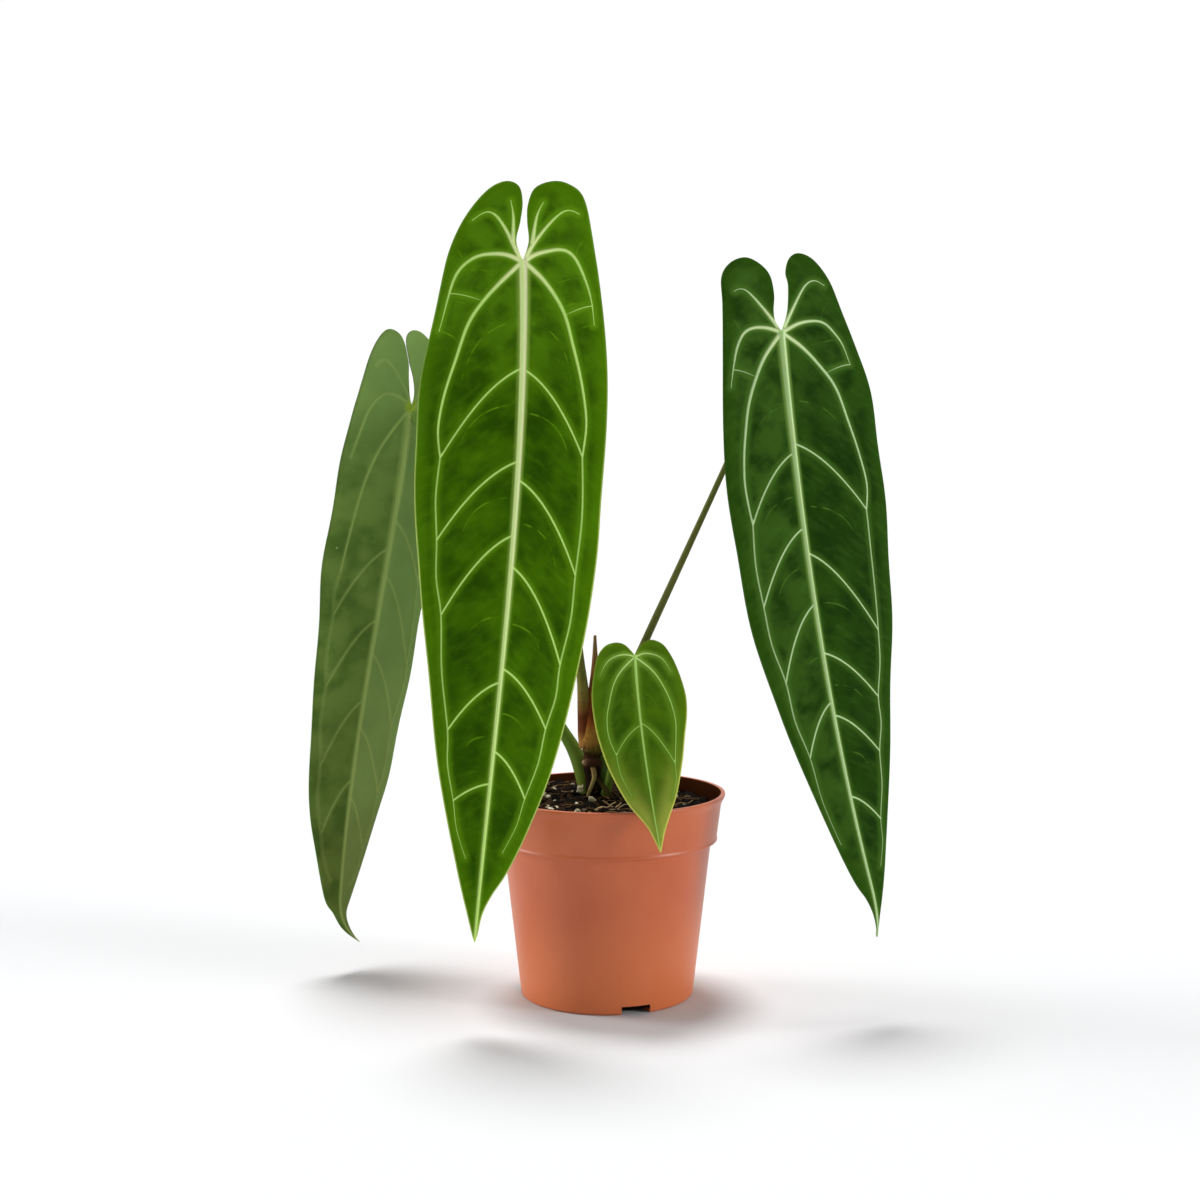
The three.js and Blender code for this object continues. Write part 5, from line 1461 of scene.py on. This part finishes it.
@dataclass
class NurseryPot:
    """Injection-moulded plastic pot with a rolled lip, a stepped collar and drain channels."""

    height: float = 104
    rim_radius: float = 60
    base_radius: float = 43.8
    shoulder_height: float = 79.7
    shoulder_radius: float = 52.9
    collar_bottom_radius: float = 55.8
    collar_top_radius: float = 58.1
    collar_top_height: float = 99.2
    wall: float = 1.4
    floor: float = 1.8
    segments: int = 240
    drain_angles: tuple[float, ...] = (19, 139, 259)
    drain_width: float = 15
    drain_height: float = 4.5
    drain_inner_radius: float = 28
    drain_past_wall: float = 6
    drain_below: float = 5

    def body_radius(self, z: float) -> float:
        """Outside radius of the tapering body at a height."""
        share = z / self.shoulder_height
        return self.base_radius + (self.shoulder_radius - self.base_radius) * share

    def profile(self) -> list[Point2]:
        """Return the closed section of the wall as (radius, height), with rounded corners."""
        w, top, z = self.wall, self.height, self.shoulder_height
        rim, high = self.rim_radius, self.collar_top_height
        # Radius, height and rounding of each corner, up the outside and down the inside
        corners: list[Point3] = [
            (self.base_radius, 0, 2.0), (self.shoulder_radius, z, 0.5),
            (self.collar_bottom_radius + 0.3, z + 0.3, 0.4),
            (self.collar_bottom_radius + 0.3, z + 1.1, 0.4), (self.collar_bottom_radius, z + 2, 0.5),
            (self.collar_top_radius, high, 1.8),
            (rim, top - 1.4, 0.6), (rim, top, 0.6), (self.collar_top_radius - w + 0.9, top, 0.7),
            (self.collar_top_radius - w, high, 1.0), (self.collar_bottom_radius - w, z + 2, 0.6),
            (self.shoulder_radius - w, z + 1, 0.6), (self.body_radius(4) - w, self.floor, 2.0)]
        path = [np.array([0.0, 0.0]), *(np.array(c[:2], float) for c in corners),
                np.array([0.0, self.floor])]
        line: list[Point2] = [(0.0, 0.0)]
        for before, corner, after, (_, _, round_by) in zip(path, path[1:], path[2:], corners):
            to_before = (before - corner) / np.linalg.norm(before - corner)
            to_after = (after - corner) / np.linalg.norm(after - corner)
            start, end = corner + to_before * round_by, corner + to_after * round_by
            for t in np.linspace(0, 1, 6):
                p = (1 - t) ** 2 * start + 2 * t * (1 - t) * corner + t ** 2 * end
                line.append((float(p[0]), float(p[1])))
        return [*line, (0.0, self.floor)]

    def build(self) -> Piece:
        """Turn the section round, open the drain channels and dress the pot."""
        section = self.profile()
        angles = np.linspace(0, 2 * math.pi, self.segments, endpoint=False)
        rings = [(r * math.cos(a), r * math.sin(a), z) for r, z in section[1:-1] for a in angles]
        points = np.array([(0, 0, section[0][1]), *rings, (0, 0, section[-1][1])])
        faces = ring_faces(len(section) - 2, self.segments)
        piece = outward(mesh_piece("nursery_pot", points, faces, self.dress(), 40))
        for angle in self.drain_angles:
            self.cut(piece, self.channel(angle))
        piece.data.shade_smooth()
        piece.data.set_sharp_from_angle(angle=math.radians(35))
        return finish_piece(piece, "pot", "pot")

    def channel(self, angle: float) -> Piece:
        """Make the block that a drain channel takes out of the floor's edge."""
        shape = bmesh.new()
        outer, inner = self.base_radius + self.drain_past_wall, self.drain_inner_radius
        bottom, top = -self.drain_below, self.drain_height
        middle = Vector(((outer + inner) / 2, 0, (top + bottom) / 2))
        size = Vector((outer - inner, self.drain_width, top - bottom))
        turn = Matrix.Rotation(math.radians(angle - 90), 4, "Z")
        place = Matrix.Scale(MM, 4) @ turn @ Matrix.LocRotScale(middle, None, size)
        bmesh.ops.create_cube(shape, size=1.0, matrix=place)
        mesh = bpy.data.meshes.new("channel")
        shape.to_mesh(mesh)
        shape.free()
        return placed("channel", mesh)

    @staticmethod
    def cut(piece: Piece, tool: Piece) -> None:
        """Take a tool's shape out of the pot and remove the tool."""
        modifier = piece.modifiers.new("cut", "BOOLEAN")
        modifier.object = tool
        modifier.operation = "DIFFERENCE"
        modifier.solver = "EXACT"
        graph = bpy.context.evaluated_depsgraph_get()
        mesh = bpy.data.meshes.new_from_object(piece.evaluated_get(graph), depsgraph=graph)
        piece.modifiers.clear()
        piece.data = mesh
        bpy.data.objects.remove(tool, do_unlink=True)

    def dress(self) -> Material:
        """Terracotta-coloured moulded polypropylene: satin, even, with faint handling marks."""
        material, tree, shader = new_material("moulded_terracotta_polypropylene")
        place = add_node(tree, "ShaderNodeTexCoord").outputs["Object"]
        cloud = add_node(tree, "ShaderNodeTexNoise", inputs={
            "Vector": place, "Scale": 22.0, "Detail": 4.0})
        ramp = set_ramp(add_node(tree, "ShaderNodeValToRGB", inputs={0: cloud}),
                        ((0.3, "b4542a"), (0.7, "be6034")))
        # Painted bounce light lightens the lower wall; painted shade browns the inner wall, whose
        # normals point inwards
        level = add_node(tree, "ShaderNodeSeparateXYZ", inputs={0: place}).outputs["Z"]
        shape = add_node(tree, "ShaderNodeNewGeometry")
        from_axis = add_node(tree, "ShaderNodeVectorMath", TIMES, {0: place, 1: (1, 1, 0)})
        outwards = add_node(tree, "ShaderNodeVectorMath", {"operation": "DOT_PRODUCT"}, {
            0: from_axis, 1: shape.outputs["Normal"]})
        inside = add_node(tree, "ShaderNodeMapRange", SMOOTH, {
            0: outwards.outputs["Value"], 1: -0.035, 2: -0.01, 3: 1.0, 4: 0.0})
        colour = paint(tree, ramp, (
            ("d0703e", [(level, 0.0, 60 * MM, 0.9, 0.0)]), ("3a1c0c", [inside])))
        grain = add_node(tree, "ShaderNodeTexNoise", inputs={
            "Vector": place, "Scale": 900.0, "Detail": 2.0})
        satin = add_node(tree, "ShaderNodeMapRange", inputs={0: cloud, 3: 0.34, 4: 0.46})
        # The inner wall's painted-shade mask also makes it matt and takes away its shine
        rough = add_node(tree, "ShaderNodeMath", HIGHER, {0: satin, 1: inside})
        shine = add_node(tree, "ShaderNodeMapRange", inputs={0: inside, 3: 0.5, 4: 0.0})
        bump = add_node(tree, "ShaderNodeBump", inputs={
            "Strength": 0.08, "Distance": 0.2 * MM, "Height": grain})
        fill(tree, shader, {"Base Color": colour, "Roughness": rough, "IOR": 1.49,
                            "Specular IOR Level": shine, "Normal": bump})
        return material


# Studio

@dataclass
class Studio:
    """White studio: a pale floor under soft light, seen by the camera of the photograph."""

    eye: Point3 = (-3.6, -1000, 285)
    target: Point3 = (-3.6, 0, 201.5)
    focal_px: float = 1988
    image_px: float = 1200
    floor_size: float = 60000
    backdrop_level: float = 1.02
    room_level: float = 0.08
    ceiling_level: float = 0.25
    # Name, degrees round from the front towards the right, degrees up, strength, softness
    lamps: tuple[tuple[str, float, float, float, float], ...] = (
        ("top_back", 198, 76, 2.5, 20), ("left", -107, 28, 0.8, 20), ("low_left", -100, 8, 1.8, 34),
        ("right", 68, 14, 1.5, 16))

    def camera(self) -> None:
        """Set up the camera."""
        data = bpy.data.cameras.new("photo_camera")
        data.sensor_width = 36
        data.lens = self.focal_px / self.image_px * data.sensor_width
        data.clip_start = 0.01
        camera = placed("photo_camera", data)
        camera.location = Vector(self.eye) * MM
        look = Vector(self.target) - Vector(self.eye)
        camera.rotation_euler = look.to_track_quat("-Z", "Y").to_euler()
        bpy.context.scene.camera = camera

    def floor(self) -> Piece:
        """Lay the pale floor."""
        material, tree, shader = new_material("matt_white_paper_sweep")
        fill(tree, shader, {"Base Color": "dcddde", "Roughness": 0.9, "Specular IOR Level": 0.0})
        h = self.floor_size / 2
        corners = np.array([(-h, -h, 0), (h, -h, 0), (h, h, 0), (-h, h, 0)])
        piece = mesh_piece("studio_floor", corners, [(0, 1, 2, 3)], material)
        return piece

    def lights(self) -> None:
        """Hang the soft lights: one high behind, two at the left and one low at the right."""
        world = bpy.data.worlds.new("white_studio")
        world.use_nodes = True
        tree = world.node_tree
        # A white sweep behind and beside the plant, a dim room at the camera, a darker ceiling
        way = add_node(tree, "ShaderNodeTexCoord").outputs["Generated"]
        split = add_node(tree, "ShaderNodeSeparateXYZ", inputs={0: way})
        wall = add_node(tree, "ShaderNodeMapRange", SMOOTH, {
            0: split.outputs["Y"], 1: -0.8, 2: -0.2, 3: self.room_level, 4: self.backdrop_level})
        level = add_node(tree, "ShaderNodeMapRange", SMOOTH, {
            0: split.outputs["Z"], 1: 0.24, 2: 0.5, 3: wall, 4: self.ceiling_level})
        # The sweep's foot runs all round, so that the floor has no dark horizon
        foot = add_node(tree, "ShaderNodeMapRange", SMOOTH, {
            0: split.outputs["Z"], 1: 0.05, 2: 0.1, 3: self.backdrop_level, 4: 0.0})
        level = add_node(tree, "ShaderNodeMath", HIGHER, {0: level, 1: foot})
        fill(tree, tree.nodes["Background"], {"Color": (1, 1, 1, 1), "Strength": level})
        bpy.context.scene.world = world
        for name, from_front, height, power, softness in self.lamps:
            data = bpy.data.lights.new(name, "SUN")
            data.energy = power
            data.angle = math.radians(softness)
            light = placed(name, data)
            light.rotation_euler = (math.radians(90 - height), 0, math.radians(from_front))


# Finishes and sizes of this plant

SKINS: dict[str, LeafSkin] = {
    "blade_front": LeafSkin(
        deep="305600", fresh="4a7602", blotch="1c3e00", halo="629414", glow="a8c65c",
        vein="bce478", vein_root="e2f0a8", rib=("d6ee9c", "d0d0a6"), net="5c8c14", edge="c8da74",
        under="5f7f3c", under_shade="4f6e30", under_pale_and_lit="6f8f4c", under_vein="9bb06a",
        blotch_share=0.62, net_strength=0.3, joint_light=0.45, tip_shade=0.4, gloss=0.02),
    "blade_right": LeafSkin(
        deep="1b3a03", fresh="294c0a", blotch="102c02", halo="4c7428", glow="90b458",
        vein="bad89c", vein_root="d4e8ac", rib=("a8c884", "d2eab0"), net="3a6a1c",
        edge="5f8a3c", under="54743a", under_shade="46642e", under_pale_and_lit="64844a",
        under_vein="8ea866", blotch_share=0.75, net_strength=0.3, roughness=0.5, gloss=0.02,
        edge_strength=0.25, joint_glow=0.55, painted_light_half=(0.4, 0.0), joint_light=0.2,
        vein_width=0.88),
    "blade_left": LeafSkin(
        deep="1d4009", fresh="284e0f", blotch="153206", halo="3c6620", glow="6f9448",
        vein="86ae5e", vein_root="a4c27e", rib=("86ae5e", "a4c27e"), net="30581c",
        edge="86a557", under="67823a", under_shade="4c6828", under_pale_and_lit="7a9852",
        under_vein="98b060", blotch_share=0.5, roughness=0.55, joint_glow=0.3,
        vein_width=0.75),
    "blade_small": LeafSkin(
        deep="2f5005", fresh="52740c", blotch="244404", halo="5e8420", glow="98b850",
        vein="a2cc68", vein_root="bedc88", rib=("a0c868", "bce084"), net="5a9018",
        edge="c8cc5c", under="6b8c40", under_shade="5b7c34", under_pale_and_lit="7b9c50",
        under_vein="9cb866", blotch_share=0.6, net_strength=0.35, yellowing=0.5, joint_glow=0.35,
        vein_width=0.64, edge_strength=0.8, gloss=0.02),
}

PETIOLE_SKIN = StalkSkin("waxed_green_petiole", (
    (0.0, "86943a"), (0.12, "7c9034"), (0.3, "6a8830"), (0.75, "5c8430"), (0.93, "6f9640"),
    (1.0, "8aa850")), "5a7432", 0.5, 0.6, 0.2, 1.3)
RIGHT_PETIOLE_SKIN = StalkSkin("waxed_olive_petiole", (
    (0.0, "7a8e3a"), (0.14, "66803a"), (0.3, "68683a"), (0.7, "666a30"), (0.93, "6e7c36"),
    (1.0, "8aa850")), "46401e", 0.5, 0.6, 0.2, 0.8)
FRONT_PETIOLE_SKIN = StalkSkin("waxed_brown_green_petiole", (
    (0.0, "b07a38"), (0.09, "b8823c"), (0.15, "7a3c14"), (0.25, "68300e"), (0.31, "84582a"),
    (0.4, "8c803e"), (0.55, "6c7632"), (0.75, "4c6a30"), (0.93, "5f7f3a"), (1.0, "8aa850")),
    "4a3420", 0.5, 0.6, 0.15, 0.9)
CANE_SKIN = StalkSkin("corky_brown_cane", (
    (0.0, "1c0f08"), (0.45, "24130a"), (0.57, "4a2c14"), (0.66, "3a2810"), (0.74, "5e4c1e"),
    (0.86, "7c6e2c"), (1.0, "a2803a")), "8a6a3c", 0.5, 0.85, 0.9, 1.6)
ROOT_SKIN = StalkSkin("matt_aerial_root", (
    (0.0, "7a5a38"), (0.3, "b89a64"), (0.7, "b09a66"), (1.0, "6e5d38")),
    "6a5430", 0.45, 0.85, 0.6, 1.1)
KNOB_SKIN = StalkSkin("scaly_root_collar", (
    (0.0, "cbb896"), (0.2, "94795a"), (0.36, "573428"), (1.0, "3e2218")),
    "4a2c1c", 0.4, 0.85, 0.8, 1.2)
DARK_ROOT_SKIN = StalkSkin("young_green_brown_root", (
    (0.0, "3c2814"), (0.5, "4c4420"), (1.0, "3a2c18")), "6a6030", 0.4, 0.85, 0.6, 1.1)

STALKS: tuple[Stalk, ...] = (
    Stalk("cane", "cane", "cane", (
        (-3, 13, 74, 2.6), (-4.4, 13, 88, 4.1), (-6.4, 12.5, 103, 4.5), (-7, 12, 111, 4.3),
        (-7.2, 12, 115.6, 5.4), (-7.6, 12, 120.4, 4.5), (-7.4, 12, 123.6, 5.9),
        (-8.4, 12, 127, 4.3), (-9, 12, 130, 3.2)),
        CANE_SKIN, sides=32, ripple=1.1, ripple_size=2.2, seed=1.0, steps=16),
    Stalk("front_petiole", "petiole_front", "petiole", (
        (-10.3, 12, 125, 4.2), (-10.8, 11.6, 131, 4.2), (-11.1, 11.3, 137, 4.0),
        (-11.7, 10.5, 145, 3.5), (-12.4, 8.5, 156, 2.9), (-13.6, 5, 168, 2.4), (-19, -12, 215, 1.9),
        (-27, -32, 280, 1.7), (-34, -49, 335, 1.8), (-38, -57, 353, 2.4), (-39.4, -59.6, 360, 1.4)),
        FRONT_PETIOLE_SKIN, seed=2.0),
    Stalk("right_petiole", "petiole_right", "petiole", (
        (-2, 15, 90, 2.8), (-2.2, 13.5, 105, 3.2), (-0.9, 12, 119, 3.2), (4.4, 9, 139, 2.3),
        (10.7, 6.5, 160, 2.1), (19.2, 4, 180, 2), (36.6, -2, 219, 1.7), (58.7, -8, 268.6, 1.45),
        (77.5, -13.5, 312, 1.7), (82.3, -16.6, 324.6, 2.3), (84.6, -19.5, 331, 1.8)),
        RIGHT_PETIOLE_SKIN, seed=3.0),
    Stalk("left_petiole", "petiole_left", "petiole", (
        (-9.4, 15, 92, 3.2), (-13, 16, 111, 3.9), (-16.9, 18, 122, 3.7), (-23.4, 20, 133, 3.0),
        (-45, 28, 172, 1.9), (-70, 37, 225, 1.7), (-89, 42.5, 272, 1.7), (-97, 43.5, 289, 2.3),
        (-103.2, 47, 297.4, 2.1)), PETIOLE_SKIN, seed=4.0),
    Stalk("small_petiole", "petiole_small", "petiole", (
        (-3.5, 9.5, 94, 2.4), (0, 7, 104, 2.3), (3.5, 1.5, 120, 1.8), (8, -10, 142, 1.4),
        (12, -24, 162, 1.4), (13.1, -29.2, 169.4, 1.7), (13.5, -32, 173.6, 1.3)),
        PETIOLE_SKIN, seed=5.0),
    Stalk("front_aerial_root", "aerial_root_front", "root", (
        (-8, 9, 116, 1.5), (-6.8, 6.4, 113, 1.25), (-6.6, 5.8, 109.5, 1.2),
        (-8, 5.4, 105.5, 1.0), (-9.6, 5.2, 101, 0.8), (-10.6, 5.4, 92, 0.6)),
        ROOT_SKIN, sides=20, ripple=0.4, ripple_size=2.2, seed=6.0),
    Stalk("root_knob", "aerial_root_front", "root", (
        (-12, 9.6, 117, 1.0), (-10.6, 7.6, 117.5, 1.8), (-7.8, 6.8, 117.4, 2.1),
        (-4.8, 7.6, 117, 1.8), (-3.8, 9.6, 116.6, 1.0)),
        KNOB_SKIN, sides=24, ripple=1.2, ripple_size=2.0, seed=9.0),
    Stalk("right_aerial_root", "aerial_root_right", "root", (
        (-4.6, 9.8, 109, 1.5), (-1.6, 4.6, 105, 1.3), (2.5, 2.8, 100, 1.1), (4, 2.4, 91, 0.8)),
        DARK_ROOT_SKIN, sides=20, ripple=0.5, ripple_size=2.2, seed=7.0),
    Stalk("back_aerial_root", "aerial_root_back", "root", (
        (-7.4, 15.2, 112, 1.5), (-6, 19.4, 107, 1.4), (-5.4, 21.4, 101, 1.2), (-5, 22, 91, 0.8)),
        ROOT_SKIN, sides=20, ripple=0.5, ripple_size=2.2, seed=8.0),
)


def main() -> None:
    """Build the studio and every piece of the plant, and report each one."""
    logging.basicConfig(level=logging.INFO, format="%(name)s: %(message)s")
    bpy.context.scene.view_settings.view_transform = "Standard"
    studio = Studio()
    studio.camera()
    studio.floor()
    studio.lights()
    NurseryPot().build()
    SoilBed().build(scatter_tree(), fibre_tree())
    stalk = stalk_tree()
    for part in STALKS:
        part.build(stalk)
    DrySheath().build()
    for number, (node, form) in enumerate(BLADES.items()):
        Blade(node, form, SKINS[node], number).build()


if __name__ == "__main__":
    main()
